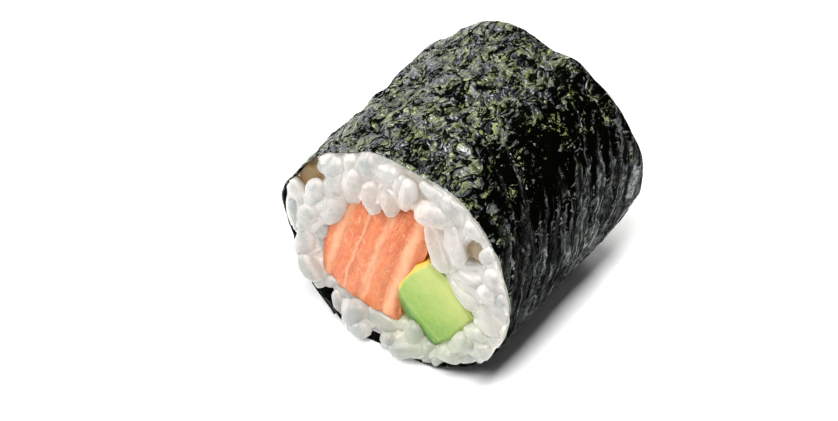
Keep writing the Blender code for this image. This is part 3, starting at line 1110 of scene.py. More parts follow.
@dataclass
class Filling:
    """A block of filling that runs through the roll, in millimetres from the roll's axis."""

    name: str
    node: str
    top_left: Corner
    top_right: Corner
    bottom_right: Corner
    bottom_left: Corner
    bow_top: Corner
    bow_right: Corner
    bow_bottom: Corner
    bow_left: Corner
    cells: tuple[int, int] = (72, 88)
    slices: int = 12
    rounding: float = 0.16
    proud: float = 0.2
    crown: float = 0.2
    edge: float = 0.35

    def place(self, across: np.ndarray, up: np.ndarray) -> tuple[np.ndarray, np.ndarray]:
        """Where points of the unit square lie in the section.

        Args:
            across: From -1 at the left side to 1 at the right side.
            up: From -1 at the bottom to 1 at the top.

        Returns:
            Their X and Z.
        """
        right = (1.0 + across * np.sqrt(1.0 - self.rounding * up**2)) / 2.0
        top = (1.0 + up * np.sqrt(1.0 - self.rounding * across**2)) / 2.0
        shares = (
            (self.top_left, (1.0 - right) * top),
            (self.top_right, right * top),
            (self.bottom_right, right * (1.0 - top)),
            (self.bottom_left, (1.0 - right) * (1.0 - top)),
            (self.bow_top, top * (1.0 - across**2)),
            (self.bow_right, right * (1.0 - up**2)),
            (self.bow_bottom, (1.0 - top) * (1.0 - across**2)),
            (self.bow_left, (1.0 - right) * (1.0 - up**2)),
        )
        return sum(p[0] * share for p, share in shares), sum(p[1] * share for p, share in shares)

    @staticmethod
    def end_places(x: np.ndarray, z: np.ndarray, end: End) -> np.ndarray:
        """Places where noise is read for a cut end, far from those of the other end."""
        return np.stack((x, np.full_like(x, 20.0 * end.value), z), axis=1)

    def reach(self, across: np.ndarray, up: np.ndarray, end: End) -> np.ndarray:
        """How far a cut end stands past the rim of the wrap.

        Args:
            across: Places in the unit square.
            up: The same.
            end: Which end, for a filling whose ends differ.

        Returns:
            The distance in millimetres.
        """
        fullness = self.crown * (1.0 - across**2) * (1.0 - up**2)
        rim = np.maximum(np.abs(across), np.abs(up))
        return self.proud + fullness - self.edge * smoothstep(0.84, 1.0, rim) ** 2

    def outline(self, steps: int = 48) -> np.ndarray:
        """Points round the section.

        Args:
            steps: How many.

        Returns:
            Their X and Z in millimetres, one point in each row.
        """
        run = np.linspace(-1.0, 1.0, steps // 4, endpoint=False)
        one = np.ones_like(run)
        across = np.concatenate((run, one, -run, -one))
        up = np.concatenate((one, -run, -one, run))
        return np.stack(self.place(across, up), axis=1)

    @staticmethod
    def unit_block(name: str, cells: tuple[int, int], slices: int) -> bpy.types.Mesh:
        """A block 2 units each way, with its cut ends across Y.

        Args:
            name: The mesh's name.
            cells: Columns and rows of each cut end.
            slices: Slices along Y.

        Returns:
            The mesh.
        """
        block = bmesh.new()
        upright = Matrix.Rotation(math.pi / 2, 4, "X")
        bmesh.ops.create_grid(block, x_segments=cells[0], y_segments=cells[1], size=1.0, matrix=upright)
        bmesh.ops.translate(block, verts=block.verts, vec=(0.0, -1.0, 0.0))
        grown = bmesh.ops.extrude_face_region(block, geom=block.faces[:])
        far_end = [item for item in grown["geom"] if isinstance(item, bmesh.types.BMVert)]
        bmesh.ops.translate(block, verts=far_end, vec=(0.0, 2.0, 0.0))
        if slices > 1:
            lengthwise = [edge for edge in block.edges if edge.calc_length() > 1.0]
            bmesh.ops.subdivide_edges(block, edges=lengthwise, cuts=slices - 1, use_grid_fill=True)
        bmesh.ops.recalc_face_normals(block, faces=block.faces)
        mesh = bpy.data.meshes.new(name)
        block.to_mesh(mesh)
        block.free()
        return mesh

    def mesh(
        self, name: str, cells: tuple[int, int], slices: int, grow: float = 0.0, overrun: float = 0.0
    ) -> bpy.types.Object:
        """Makes the block, or a larger one of its form to cut with.

        Args:
            name: The object's name.
            cells: Columns and rows of each cut end.
            slices: Slices along the roll.
            grow: How far its sides stand out, in millimetres.
            overrun: How far its ends run past the cut, in millimetres.

        Returns:
            The object.
        """
        mesh = self.unit_block(name, cells, slices)
        across, along, up = read_vectors(mesh.vertices, "co").T
        x, z = self.place(across, up)
        middle_x, middle_z = self.place(np.zeros(1), np.zeros(1))
        out = np.hypot(x - middle_x, z - middle_z) + 1e-6
        x = x + (x - middle_x) / out * grow
        z = z + (z - middle_z) / out * grow
        side = np.sign(along)
        tip = np.where(side < 0.0, self.reach(across, up, End.SHOWN), self.reach(across, up, End.FAR))
        y = along * (ROLL.length / MM / 2.0 + overrun) + np.where(np.abs(along) > 0.999, side * tip, 0.0)
        points = np.stack((x, y, z + ROLL.axis_height / MM), axis=1) * MM
        mesh.vertices.foreach_set("co", points.ravel())
        mesh.update()
        mesh.shade_smooth()
        return add_object(name, mesh)

    def build(self, finish: bpy.types.Material) -> bpy.types.Object:
        """Makes the filling and dresses it.

        Args:
            finish: Its material.

        Returns:
            The finished piece.
        """
        block = self.mesh(self.name, self.cells, self.slices)
        block.data.set_sharp_from_angle(angle=math.radians(70))
        block.data.materials.append(finish)
        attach(block, BODY)
        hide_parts(self.node)
        return block


@dataclass
class SalmonBlock(Filling):
    """The salmon: the avocado presses into its right side, and its cut ends show its flakes."""

    dent_height: float = -4.6
    dent_depth: float = 1.6
    dent_above: float = 4.7
    dent_below: float = 3.0
    fall: float = 1.0
    slope: float = 0.3
    flake_pitch: float = 2.4
    flake_depth: float = 0.24

    def place(self, across: np.ndarray, up: np.ndarray) -> tuple[np.ndarray, np.ndarray]:
        """Where points of the unit square lie in the section, with the dent.

        Args:
            across: From -1 at the left side to 1 at the right side.
            up: From -1 at the bottom to 1 at the top.

        Returns:
            Their X and Z.
        """
        x, z = super().place(across, up)
        past = z - self.dent_height
        spread = np.where(past > 0.0, self.dent_above, self.dent_below)
        dent = self.dent_depth * np.exp(-((past / spread) ** 2))
        return x - dent * (0.5 + across / 2.0) ** 2, z

    def reach(self, across: np.ndarray, up: np.ndarray, end: End) -> np.ndarray:
        """How far a cut end stands past the rim, less its grooves and the fall at its top edge.

        Args:
            across: Places in the unit square.
            up: The same.
            end: Which end.

        Returns:
            The distance in millimetres.
        """
        x, z = self.place(across, up)
        places = self.end_places(x, z, end)
        wander = 0.7 * noise_at(places, 4.0) + 0.15 * noise_at(places, 1.1, 3.0)
        phase = (x - self.slope * z + wander) / self.flake_pitch
        groove = (1.0 - np.abs(np.sin(np.pi * phase))) ** 2
        fibre = 0.05 * noise_at(places * (2.0, 1.0, 0.6), 0.8, 9.0)
        fall = self.fall * np.maximum(0.0, up) ** 3
        return super().reach(across, up, end) - self.flake_depth * groove - fall + fibre


@dataclass
class AvocadoWedge(Filling):
    """The avocado: a wedge whose face bends back along the side that lay under the skin."""

    facet_slope: float = 0.3
    ridge: tuple[float, float, float] = (0.84, 0.54, 1.38)
    waviness: float = 0.16
    wave: float = 1.3

    def place(self, across: np.ndarray, up: np.ndarray) -> tuple[np.ndarray, np.ndarray]:
        """Where points of the unit square lie in the section, with uneven sides.

        Args:
            across: From -1 at the left side to 1 at the right side.
            up: From -1 at the bottom to 1 at the top.

        Returns:
            Their X and Z.
        """
        x, z = super().place(across, up)
        places = np.stack((x, z, np.zeros_like(x)), axis=1)
        uneven_x, uneven_z = (self.waviness * noise_at(places, self.wave, offset) for offset in (4.0, 8.0))
        return x + uneven_x, z + uneven_z

    def reach(self, across: np.ndarray, up: np.ndarray, end: End) -> np.ndarray:
        """How far a cut end stands past the rim, less the facet along its lower left side.

        Args:
            across: Places in the unit square.
            up: The same.
            end: Which end.

        Returns:
            The distance in millimetres.
        """
        x, z = self.place(across, up)
        share_x, share_z, offset = self.ridge
        past_ridge = np.maximum(0.0, -(x * share_x + z * share_z) - offset)
        ripple = 0.05 * noise_at(self.end_places(x, z, end), 2.4, 5.0)
        return super().reach(across, up, end) - self.facet_slope * past_ridge + ripple


SALMON = SalmonBlock(
    name="salmon_block",
    node="salmon",
    top_left=(-6.6, 7.3),
    top_right=(5.1, 8.5),
    bottom_right=(0.3, -10.3),
    bottom_left=(-10.9, -7.3),
    bow_top=(0.0, 0.5),
    bow_right=(0.35, 0.0),
    bow_bottom=(0.0, -0.4),
    bow_left=(-1.3, -0.2),
    crown=0.45,
)
AVOCADO = AvocadoWedge(
    name="avocado_wedge",
    node="avocado",
    top_left=(3.9, 2.7),
    top_right=(10.7, -3.3),
    bottom_right=(5.2, -10.7),
    bottom_left=(-1.9, -6.5),
    bow_top=(0.2, 0.2),
    bow_right=(0.1, -0.1),
    bow_bottom=(-0.35, -0.45),
    bow_left=(-0.35, 0.15),
    cells=(60, 60),
    proud=0.3,
    edge=0.22,
)
FILLINGS = (SALMON, AVOCADO)


# ---------------------------------------------------------------------------------------------
# The rice


@dataclass(frozen=True)
class Grain:
    """A grain that shows, in millimetres and degrees.

    Its middle lies at x and z from the roll's axis, and forward of the rim of the wrap. Its length
    points at an angle from +X towards +Z, and its upper end leans out of the cut.
    """

    x: float
    z: float
    forward: float
    length: float
    width: float
    angle: float
    lean: float = 0.0


# The grains that stand out at the shown end, from the top left to the lower left by the right
SHOWN_GRAINS = (
    Grain(-9.0, 9.4, -0.5, 4.1, 2.5, 39, 15),
    Grain(-6.2, 10.7, -0.6, 4.1, 2.0, 88, 20),
    Grain(-3.9, 12.0, -0.3, 4.1, 2.6, 68, 15),
    Grain(-1.7, 12.3, -0.4, 4.1, 2.5, 16, 7),
    Grain(-0.1, 11.0, -0.6, 4.1, 2.5, 66, 24),
    Grain(-1.3, 10.1, -0.3, 4.1, 2.3, 30, 29),
    Grain(-8.0, 7.6, -0.1, 4.2, 2.7, 68, 8),
    Grain(-5.2, 8.9, 0.2, 4.2, 2.5, 88, 8),
    Grain(-3.1, 8.2, 0.3, 4.2, 2.4, 85, 4),
    Grain(-0.8, 9.0, 0.2, 4.3, 2.2, 87, 2),
    Grain(-8.6, 4.0, 0.1, 4.5, 2.7, 66, -8),
    Grain(-11.1, 4.6, -0.1, 4.2, 2.6, 67, 7),
    Grain(-13.4, 3.5, -0.3, 4.1, 2.1, 116, 7),
    Grain(-13.9, 0.4, -0.2, 4.5, 1.9, 99, -7),
    Grain(-11.8, 1.1, 0.2, 4.4, 2.7, 70, -3),
    Grain(1.5, 10.6, 0.1, 4.2, 2.2, 82, 10),
    Grain(4.8, 12.2, -0.4, 4.0, 2.0, 160, -9),
    Grain(4.8, 9.6, 0.2, 3.9, 2.9, 16, 13),
    Grain(7.4, 10.8, -0.3, 4.1, 2.0, 115, 10),
    Grain(10.2, 9.6, -0.1, 3.5, 2.1, 81, 27),
    Grain(12.0, 7.2, 0.1, 3.7, 1.7, 64, 15),
    Grain(7.8, 6.7, 0.0, 4.8, 2.4, 107, -13),
    Grain(5.4, 5.1, 0.2, 5.4, 2.3, 122, -15),
    Grain(12.7, 3.8, -0.1, 4.2, 2.4, 65, 27),
    Grain(12.0, 5.3, -0.6, 3.6, 1.8, 33, 15),
    Grain(13.5, 3.2, -0.5, 3.4, 1.6, 96, 8),
    Grain(9.5, 2.6, -0.2, 4.1, 2.7, 2, 5),
    Grain(11.9, 1.2, -0.1, 4.2, 2.4, 74, 31),
    Grain(13.5, 0.3, -0.6, 4.2, 2.2, 76, 31),
    Grain(9.3, 0.2, 0.15, 4.2, 2.8, 150, 0),
    Grain(12.2, -1.5, 0.3, 4.6, 2.5, 123, -6),
    Grain(13.5, -0.9, -0.3, 3.6, 1.8, 83, 19),
    Grain(13.0, -5.3, -0.4, 4.2, 2.0, 70, 34),
    Grain(10.8, -4.9, 0.1, 4.1, 2.5, 39, 28),
    Grain(11.6, -7.7, 0.2, 4.1, 2.2, 69, 18),
    Grain(8.9, -7.8, 0.1, 4.1, 2.6, 51, 9),
    Grain(9.1, -10.3, -0.7, 4.2, 2.0, 64, 23),
    Grain(6.8, -10.6, 0.1, 4.1, 2.1, 23, 16),
    Grain(3.8, -12.0, -0.5, 4.1, 2.5, 69, 27),
    Grain(2.3, -10.1, 0.0, 4.1, 2.4, 84, 16),
    Grain(1.8, -12.2, 0.5, 4.4, 2.5, 23, -4),
    Grain(-1.1, -12.6, 0.1, 3.4, 1.9, 70, 35),
    Grain(-2.6, -11.6, -0.4, 4.3, 1.8, 1, 1),
    Grain(-5.3, -12.8, 0.2, 4.2, 2.4, 44, 29),
    Grain(-5.7, -10.6, 0.3, 4.1, 2.7, 49, 12),
    Grain(-8.4, -10.5, -0.2, 3.4, 1.6, 81, 16),
    Grain(-9.6, -8.1, -0.4, 3.0, 1.7, 36, 25),
    Grain(-11.9, -6.4, 0.5, 4.0, 2.6, 100, 16),
    Grain(-13.8, -5.2, -0.2, 2.8, 1.5, 86, 24),
    Grain(-12.5, -2.8, 0.3, 4.2, 2.6, 80, 6),
    Grain(-11.4, -9.0, -0.3, 2.8, 1.6, 31, 24),
)


@dataclass(frozen=True)
class Gap:
    """A place where the rice falls short, how far out its floor lies, and how brown that is."""

    x: float
    z: float
    size: float
    level: float = -3.4
    brown: float = 0.0

    def cover(self, x: np.ndarray, z: np.ndarray, outer: float, inner: float) -> np.ndarray:
        """How far places lie in the gap.

        Args:
            x: Places in the section.
            z: The same.
            outer: How far past its size the gap starts.
            inner: How far past its size it is whole.

        Returns:
            A rise from 0 outside to 1 inside.
        """
        return smoothstep(self.size + outer, self.size + inner, np.hypot(x - self.x, z - self.z))


# The gaps of the shown end
SHOWN_GAPS = (
    Gap(-12.2, 6.3, 1.8, -0.5, 1.0),
    Gap(10.1, 6.2, 1.15, -0.15, 0.85),
    Gap(2.5, 12.4, 1.9, -0.3, 0.28),
    Gap(-10.6, -10.6, 1.9),
    Gap(-3.6, -13.2, 0.9),
    Gap(0.1, -11.8, 0.6),
    Gap(14.1, -1.4, 0.5),
    Gap(-14.3, -3.0, 0.7),
    Gap(-11.6, -5.2, 0.6, -1.6),
)

# Where the two fillings touch, and no grain fits between them: X, Z and radius
SEAM = ((3.4, 2.8, 0.5), (1.6, -0.4, 0.8), (0.5, -3.4, 0.8), (-0.2, -6.6, 0.8), (-0.3, -8.6, 0.3))

# The beads that stand for a grain while it settles, as shares of its spare length
BEADS = np.array((-1.0, 0.0, 1.0))


@dataclass
class Packing:
    """Places the grains of one cut end: those that are given stay, and the rest settle round them.

    Everything is in millimetres, with Y counted outwards from the rim of the wrap.
    """

    wrap_reach: np.ndarray
    given: tuple[Grain, ...] = ()
    gaps: tuple[Gap, ...] = ()
    fill: int = 90
    seed: int = 1
    layer: tuple[float, float] = (-3.2, -0.4)
    grain_length: float = 5.3
    grain_width: float = 2.8
    swell: float = 1.2
    tries: int = 24
    steps: int = 90
    closeness: float = 0.72
    damping: float = 0.35
    rim_room: float = 1.4
    seam_room: float = 0.9
    side_room: float = 0.7
    deepest: float = -3.4
    lean_spread: float = 22.0
    most_lean: float = 0.3
    size_range: tuple[float, float] = (0.88, 1.08)
    places: np.ndarray = field(init=False)
    turns: np.ndarray = field(init=False)
    halves: np.ndarray = field(init=False)

    @property
    def closed(self) -> tuple[tuple[float, float, float], ...]:
        """Where no grain may settle: X, Z and radius."""
        return tuple((gap.x, gap.z, gap.size) for gap in self.gaps) + SEAM

    @staticmethod
    def inside(points: np.ndarray, polygon: np.ndarray) -> np.ndarray:
        """Which points lie inside a closed outline.

        Args:
            points: X and Z of each point.
            polygon: X and Z of each corner.

        Returns:
            True for each point inside.
        """
        found = np.zeros(len(points), bool)
        for (x0, z0), (x1, z1) in zip(polygon, np.roll(polygon, -1, axis=0)):
            spans = (z0 > points[:, 1]) != (z1 > points[:, 1])
            if z0 != z1:
                cross_x = x0 + (points[:, 1] - z0) * (x1 - x0) / (z1 - z0)
                found ^= spans & (points[:, 0] < cross_x)
        return found

    @staticmethod
    def direction(angle: float, lean: float) -> tuple[float, float, float]:
        """A grain's direction, from its angle in the section and its lean out of the cut, in degrees."""
        angle, lean = math.radians(angle), math.radians(lean)
        return math.cos(angle) * math.cos(lean), math.sin(lean), math.sin(angle) * math.cos(lean)

    def spread(self) -> int:
        """Sets out the given grains, and spreads the others evenly between them.

        Returns:
            The number of given grains.
        """
        draw = random.Random(self.seed)
        places = [(grain.x, grain.forward, grain.z) for grain in self.given]
        turns = [self.direction(grain.angle, grain.lean) for grain in self.given]
        halves = [(g.width / 2.0 * self.swell, g.length / 2.0 * self.swell) for g in self.given]
        polygons = [filling.outline() for filling in FILLINGS]
        while len(places) < len(self.given) + self.fill:
            best, best_room = None, -1.0
            for _ in range(self.tries):
                reach = (ROLL.radius / MM - self.rim_room) * math.sqrt(draw.random())
                turn = draw.uniform(0.0, 2.0 * math.pi)
                place = (reach * math.cos(turn), draw.uniform(*self.layer), reach * math.sin(turn))
                flat = np.array(((place[0], place[2]),))
                taken = any(self.inside(flat, polygon)[0] for polygon in polygons)
                if taken or any(math.dist(flat[0], gap[:2]) < gap[2] for gap in self.closed):
                    continue
                room = min((math.dist(place, other) for other in places), default=1.0)
                if room > best_room:
                    best, best_room = place, room
            if best:
                places.append(best)
                turns.append(self.direction(draw.uniform(0.0, 180.0), draw.gauss(0.0, self.lean_spread)))
                size = draw.uniform(*self.size_range)
                halves.append((self.grain_width / 2.0 * size, self.grain_length / 2.0 * size))
        self.places, self.turns, self.halves = np.array(places), np.array(turns), np.array(halves)
        return len(self.given)

    def settle(self) -> None:
        """Lets the grains part from each other and from all walls, while the given ones stay."""
        fixed = self.spread()
        polygons = [filling.outline() for filling in FILLINGS]
        spare = (self.halves[:, 1] - self.halves[:, 0])[:, None]
        free = (np.arange(len(self.places)) >= fixed)[:, None, None]
        for _ in range(self.steps):
            beads = self.places[:, None, :] + self.turns[:, None, :] * spare[:, None] * BEADS[None, :, None]
            flat = beads.reshape(-1, 3)
            radius = np.repeat(self.halves[:, 0], len(BEADS))
            others = self._neighbour_moves(flat, radius) + self._filling_moves(flat, radius, polygons)
            moves = (self._wrap_moves(flat, radius) + others).reshape(beads.shape) * free
            self.places += moves.mean(axis=1)
            self.turns += self.damping * (moves[:, 2] - moves[:, 0]) / spare
            self.turns[fixed:, 1] = np.clip(self.turns[fixed:, 1], -self.most_lean, self.most_lean)
            self.turns /= np.linalg.norm(self.turns, axis=1)[:, None]

        seam = np.array(SEAM)
        away = np.linalg.norm(self.places[:, None, ::2] - seam[None, :, :2], axis=2)
        caught = (away < seam[:, 2] + self.seam_room).any(axis=1)
        kept = ~caught | (np.arange(len(self.places)) < fixed)
        self.places, self.turns, self.halves = self.places[kept], self.turns[kept], self.halves[kept]

    def front(self, x: np.ndarray, z: np.ndarray) -> np.ndarray:
        """How far out of the cut the grains reach.

        Args:
            x: Places in the section.
            z: The same.

        Returns:
            The distance past the rim of the wrap, or the deepest value where no grain lies.
        """
        reach = np.full(x.shape, self.deepest)
        for place, turn, (wide, long) in zip(self.places, self.turns, self.halves):
            dx, dz = x - place[0], z - place[2]
            along = dx * turn[0] + dz * turn[2]
            a = (1.0 - turn[1] ** 2) / wide**2 + turn[1] ** 2 / long**2
            b = 2.0 * along * turn[1] * (1.0 / long**2 - 1.0 / wide**2)
            c = (dx * dx + dz * dz - along**2) / wide**2 + along**2 / long**2 - 1.0
            root = b * b - 4.0 * a * c
            surface = place[1] + (np.sqrt(np.maximum(root, 0.0)) - b) / (2.0 * a)
            reach = np.where(root > 0.0, np.maximum(reach, surface), reach)
        return reach

    def _wrap_moves(self, flat: np.ndarray, radius: np.ndarray) -> np.ndarray:
        """The moves that bring beads inside the wrap.

        Args:
            flat: The beads' middles, one in each row.
            radius: Their radii.

        Returns:
            A move for each.
        """
        moves = np.zeros_like(flat)
        section = flat[:, (0, 2)]
        reach = np.linalg.norm(section, axis=1)
        angle = np.degrees(np.arctan2(section[:, 1], section[:, 0]))
        limit = self.wrap_reach[np.round(angle + 180.0).astype(int)] / MM - radius
        moves[:, (0, 2)] = -section / reach[:, None] * np.maximum(reach - limit, 0.0)[:, None]
        return moves

    def _filling_moves(self, flat: np.ndarray, radius: np.ndarray, polygons: list[np.ndarray]) -> np.ndarray:
        """The moves that keep beads out of the fillings, out of the gaps and in their layer.

        Args:
            flat: The beads' middles, one in each row.
            radius: Their radii.
            polygons: The outlines of the fillings.

        Returns:
            A move for each.
        """
        moves = np.zeros_like(flat)
        section = flat[:, (0, 2)]
        rows = np.arange(len(flat))
        for polygon in polygons:
            away = section[:, None, :] - polygon[None, :, :]
            distance = np.linalg.norm(away, axis=2)
            nearest = distance.argmin(axis=1)
            side = np.where(self.inside(section, polygon), -1.0, 1.0)
            gap = distance[rows, nearest]
            outward = away[rows, nearest] * (side / np.maximum(gap, 1e-6))[:, None]
            moves[:, (0, 2)] += outward * np.maximum(radius * self.side_room - side * gap, 0.0)[:, None]
        for x, z, size in self.closed:
            away = section - (x, z)
            gap = np.linalg.norm(away, axis=1)
            push = np.maximum(size + radius - gap, 0.0) / np.maximum(gap, 1e-6)
            moves[:, (0, 2)] += away * push[:, None]
        moves[:, 1] += np.clip(flat[:, 1], *self.layer) - flat[:, 1]
        return moves

    def _neighbour_moves(self, flat: np.ndarray, radius: np.ndarray) -> np.ndarray:
        """The moves that part the beads of different grains.

        Args:
            flat: The beads' middles, one in each row.
            radius: Their radii.

        Returns:
            A move for each.
        """
        away = flat[:, None, :] - flat[None, :, :]
        distance = np.linalg.norm(away, axis=2)
        overlap = np.maximum((radius[:, None] + radius[None, :]) * self.closeness - distance, 0.0)
        owner = np.arange(len(flat)) // len(BEADS)
        overlap[owner[:, None] == owner[None, :]] = 0.0
        push = overlap / np.maximum(distance, 1e-6)
        return self.damping * (away * push[:, :, None]).sum(axis=1)


@dataclass
class RiceHeap:
    """The rice: a bumpy core, with the grains that show at both cut ends over it."""

    wrap: NoriWrap
    kinds: int = 8
    sides: int = 12
    rings: int = 7
    facets: int = 5
    core_rings: int = 44
    core_sides: int = 200
    seed: int = 5
    # In metres
    unevenness: float = 0.24 * MM
    lump_size: float = 1.3 * MM
    press_gap: float = 0.03 * MM
    free_out: float = 1.1 * MM
    core_floor: float = 0.3 * MM
    # In millimetres
    binder_depth: float = 0.36
    binder_spread: tuple[float, ...] = (0.45, 0.9)
    binder_rim: float = 0.9
    core_gap: float = 1.1
    waist_depth: float = 4.4
    middle_depth: float = 2.0
    cut_room: float = 0.12
    cut_overrun: float = 6.0
    reach: np.ndarray = field(init=False)
    ends: dict[End, Packing] = field(init=False)

    def __post_init__(self) -> None:
        """Reads how far the wrap lets the rice reach, and packs both ends."""
        self.reach = self.wrap.inner_reach()
        rim_rows = self.wrap.rows // 6
        near, far = self.reach[:rim_rows].min(axis=0), self.reach[-rim_rows:].min(axis=0)
        self.ends = {
            End.SHOWN: Packing(near, SHOWN_GRAINS, SHOWN_GAPS, fill=84, seed=3, layer=(-2.5, -0.8)),
            End.FAR: Packing(far, fill=112, seed=8, layer=(-2.8, -0.3)),
        }
        for packing in self.ends.values():
            packing.settle()

    def press(self, mesh: bpy.types.Mesh) -> None:
        """Presses a mesh flat against the wrap, and less and less so past its rims.

        Args:
            mesh: The mesh.
        """
        points = mesh_points(mesh)
        row = np.round((points[:, 1] / ROLL.length + 0.5) * self.wrap.rows).astype(int)
        angle = np.round(np.degrees(np.arctan2(points[:, 2], points[:, 0])) + 180.0).astype(int)
        limit = self.reach[np.clip(row, 0, self.wrap.rows), angle] - self.press_gap
        hold = smoothstep(self.free_out, 0.1 * MM, np.abs(points[:, 1]) - ROLL.length / 2.0)
        share = np.minimum(1.0, limit / np.maximum(np.hypot(points[:, 0], points[:, 2]), MM))
        points[:, ::2] *= (1.0 - hold * (1.0 - share))[:, None]
        mesh.vertices.foreach_set("co", (points + (0.0, 0.0, ROLL.axis_height)).ravel())
        mesh.update()

    def grain_kind(self, number: int) -> bpy.types.Object:
        """One form of grain, 2 units each way, to be sized where it lies.

        Args:
            number: Which form.

        Returns:
            The object.
        """
        draw = random.Random(self.seed * 100 + number)
        bend = draw.uniform(0.0, 0.16)
        taper = draw.uniform(-0.14, 0.14)
        blunt = draw.uniform(0.72, 0.88)
        facets = []
        for turn in range(self.facets):
            around = 2.0 * math.pi * (turn + draw.uniform(-0.3, 0.3)) / self.facets
            facet = Vector((math.cos(around), math.sin(around), draw.uniform(-0.8, 0.8))).normalized()
            facets.append((facet, draw.uniform(0.66, 0.84)))
        grain = bmesh.new()
        bmesh.ops.create_uvsphere(grain, u_segments=self.sides, v_segments=self.rings, radius=1.0)
        for vertex in grain.verts:
            x, y, z = vertex.co
            z = math.copysign(abs(z) ** blunt, z)
            wide = math.sqrt(max(0.0, 1.0 - abs(z) ** 2.5)) / max(math.hypot(x, y), 1e-6)
            if math.hypot(x, y) < 1e-4:
                wide = 0.0
            x, y = x * wide * (1.0 + taper * z), y * wide * (1.0 - taper * 0.5 * z)
            place = Vector((x + bend * (0.4 - z * z), y, z))
            for facet, depth in facets:
                place -= facet * max(0.0, place.dot(facet) - depth) * 0.85
            vertex.co = place
        mesh = bpy.data.meshes.new(f"grain_kind_{number}")
        grain.to_mesh(mesh)
        grain.free()
        return bpy.data.objects.new(mesh.name, mesh)

    def scatter_tree(self) -> tuple[bpy.types.NodeTree, dict[str, str]]:
        """The tree that puts a grain on each point.

        Returns:
            The tree, and the identifier of each of its inputs by name.
        """
        tree = bpy.data.node_groups.new("scatter_grains", "GeometryNodeTree")
        sockets = (
            ("Geometry", "NodeSocketGeometry"),
            ("Grain kinds", "NodeSocketCollection"),
            ("Unevenness", "NodeSocketFloat"),
            ("Lump size", "NodeSocketFloat"),
            ("Seed", "NodeSocketFloat"),
            ("Material", "NodeSocketMaterial"),
        )
        for name, kind in sockets:
            tree.interface.new_socket(name=name, in_out="INPUT", socket_type=kind)
        tree.interface.new_socket(name="Geometry", in_out="OUTPUT", socket_type="NodeSocketGeometry")
        nodes = Nodes(tree)
        source = nodes.add("NodeGroupInput").socket.node
        inputs = {socket.name: Wire(nodes, socket) for socket in source.outputs if socket.name}
        kinds = nodes.add(
            "GeometryNodeCollectionInfo",
            {"transform_space": "ORIGINAL"},
            {"Collection": inputs["Grain kinds"], "Separate Children": True, "Reset Children": True},
        )
        stored = (("turn", Kind.TURN), ("half", Kind.VECTOR), ("kind", Kind.WHOLE))
        turn, half, kind = (
            nodes.add("GeometryNodeInputNamedAttribute", {"data_type": kind.value}, {"Name": name})
            for name, kind in stored
        )
        placed = nodes.add(
            "GeometryNodeInstanceOnPoints",
            {},
            {
                "Points": inputs["Geometry"],
                "Instance": kinds,
                "Pick Instance": True,
                "Instance Index": kind,
                "Rotation": turn,
                "Scale": half,
            },
        )
        grains = nodes.add("GeometryNodeRealizeInstances", {}, {"Geometry": placed})
        lumps = nodes.add(
            "ShaderNodeTexNoise",
            {"noise_dimensions": "4D"},
            {"Scale": 1.0 / inputs["Lump size"], "W": inputs["Seed"], "Detail": 1.0},
            "Fac",
        )
        along = nodes.add("GeometryNodeInputNormal", {}, {})
        push = nodes.add(
            "ShaderNodeVectorMath",
            {"operation": "SCALE"},
            {0: along, "Scale": (lumps - 0.5) * inputs["Unevenness"] * 2.0},
        )
        uneven = nodes.add("GeometryNodeSetPosition", {}, {"Geometry": grains, "Offset": push})
        smooth = nodes.add("GeometryNodeSetShadeSmooth", {}, {"Geometry": uneven})
        dressing = {"Geometry": smooth, "Material": inputs["Material"]}
        nodes.add("NodeGroupOutput", {}, {0: nodes.add("GeometryNodeSetMaterial", {}, dressing)})
        identifiers = {
            item.name: item.identifier
            for item in tree.interface.items_tree
            if item.item_type == "SOCKET" and item.in_out == "INPUT"
        }
        return tree, identifiers

    def grain_points(self) -> bpy.types.Object:
        """One point for each grain of both ends.

        Returns:
            The points' object, with the turn, size, kind and tone of each grain stored on it.
        """
        draw = random.Random(self.seed)
        places, turns, halves = [], [], []
        half_roll = ROLL.length / MM / 2.0
        for end, packing in self.ends.items():
            for place, turn, half in zip(packing.places, packing.turns, packing.halves):
                places.append((place[0] * MM, end.value * (half_roll + place[1]) * MM, place[2] * MM))
                along = Vector((turn[0], end.value * turn[1], turn[2])).to_track_quat("Z", "Y").to_matrix()
                spin = Matrix.Rotation(draw.uniform(0.0, 2.0 * math.pi), 3, "Z")
                turns.append(list((along @ spin).to_quaternion()))
                thick = half[0] * draw.uniform(0.92, 1.02)
                halves.append((half[0] * MM, thick * MM, half[1] * MM))
        points = new_mesh_object("rice_grains", np.array(places), [])
        store(points.data, "turn", turns, Kind.TURN)
        store(points.data, "half", halves, Kind.VECTOR)
        store(points.data, "kind", [draw.randrange(self.kinds) for _ in places], Kind.WHOLE)
        store(points.data, "tone", [0.5 * draw.random() + 0.7 * self.clear(*place) for place in places])
        return points

    @staticmethod
    def clear(x: float, _y: float, z: float) -> float:
        """How far a grain at a place leans to the cool grey, from 0 to 1: more so by the left rim and
        towards the bottom.
        """
        return float(max(smoothstep(-12.6 * MM, -15.0 * MM, x), smoothstep(-2.0 * MM, -12.0 * MM, z)))

    def tint(self, mesh: bpy.types.Mesh) -> None:
        """Stores a pink tint near the salmon and a green one near the avocado, stronger deeper in the cut,
        with the pink weaker at the left and bottom.

        Args:
            mesh: The mesh.
        """
        points = mesh_points(mesh) / MM
        deep = smoothstep(0.3, -1.2, np.abs(points[:, 1]) - ROLL.length / MM / 2.0)
        high = 0.25 + 0.75 * smoothstep(-2.0, 8.0, points[:, 2]) * smoothstep(-10.0, 0.0, points[:, 0])
        stains = (("near_salmon", SALMON, 0.3 * high, 2.6), ("near_avocado", AVOCADO, 0.38, 3.0))
        for name, filling, tint_share, spread in stains:
            polygon = filling.outline(120)
            away = np.linalg.norm(points[:, None, ::2] - polygon[None, :, :], axis=2).min(axis=1)
            store(mesh, name, tint_share * (1.0 + 1.4 * deep) * np.exp(-((away / spread) ** 2)))

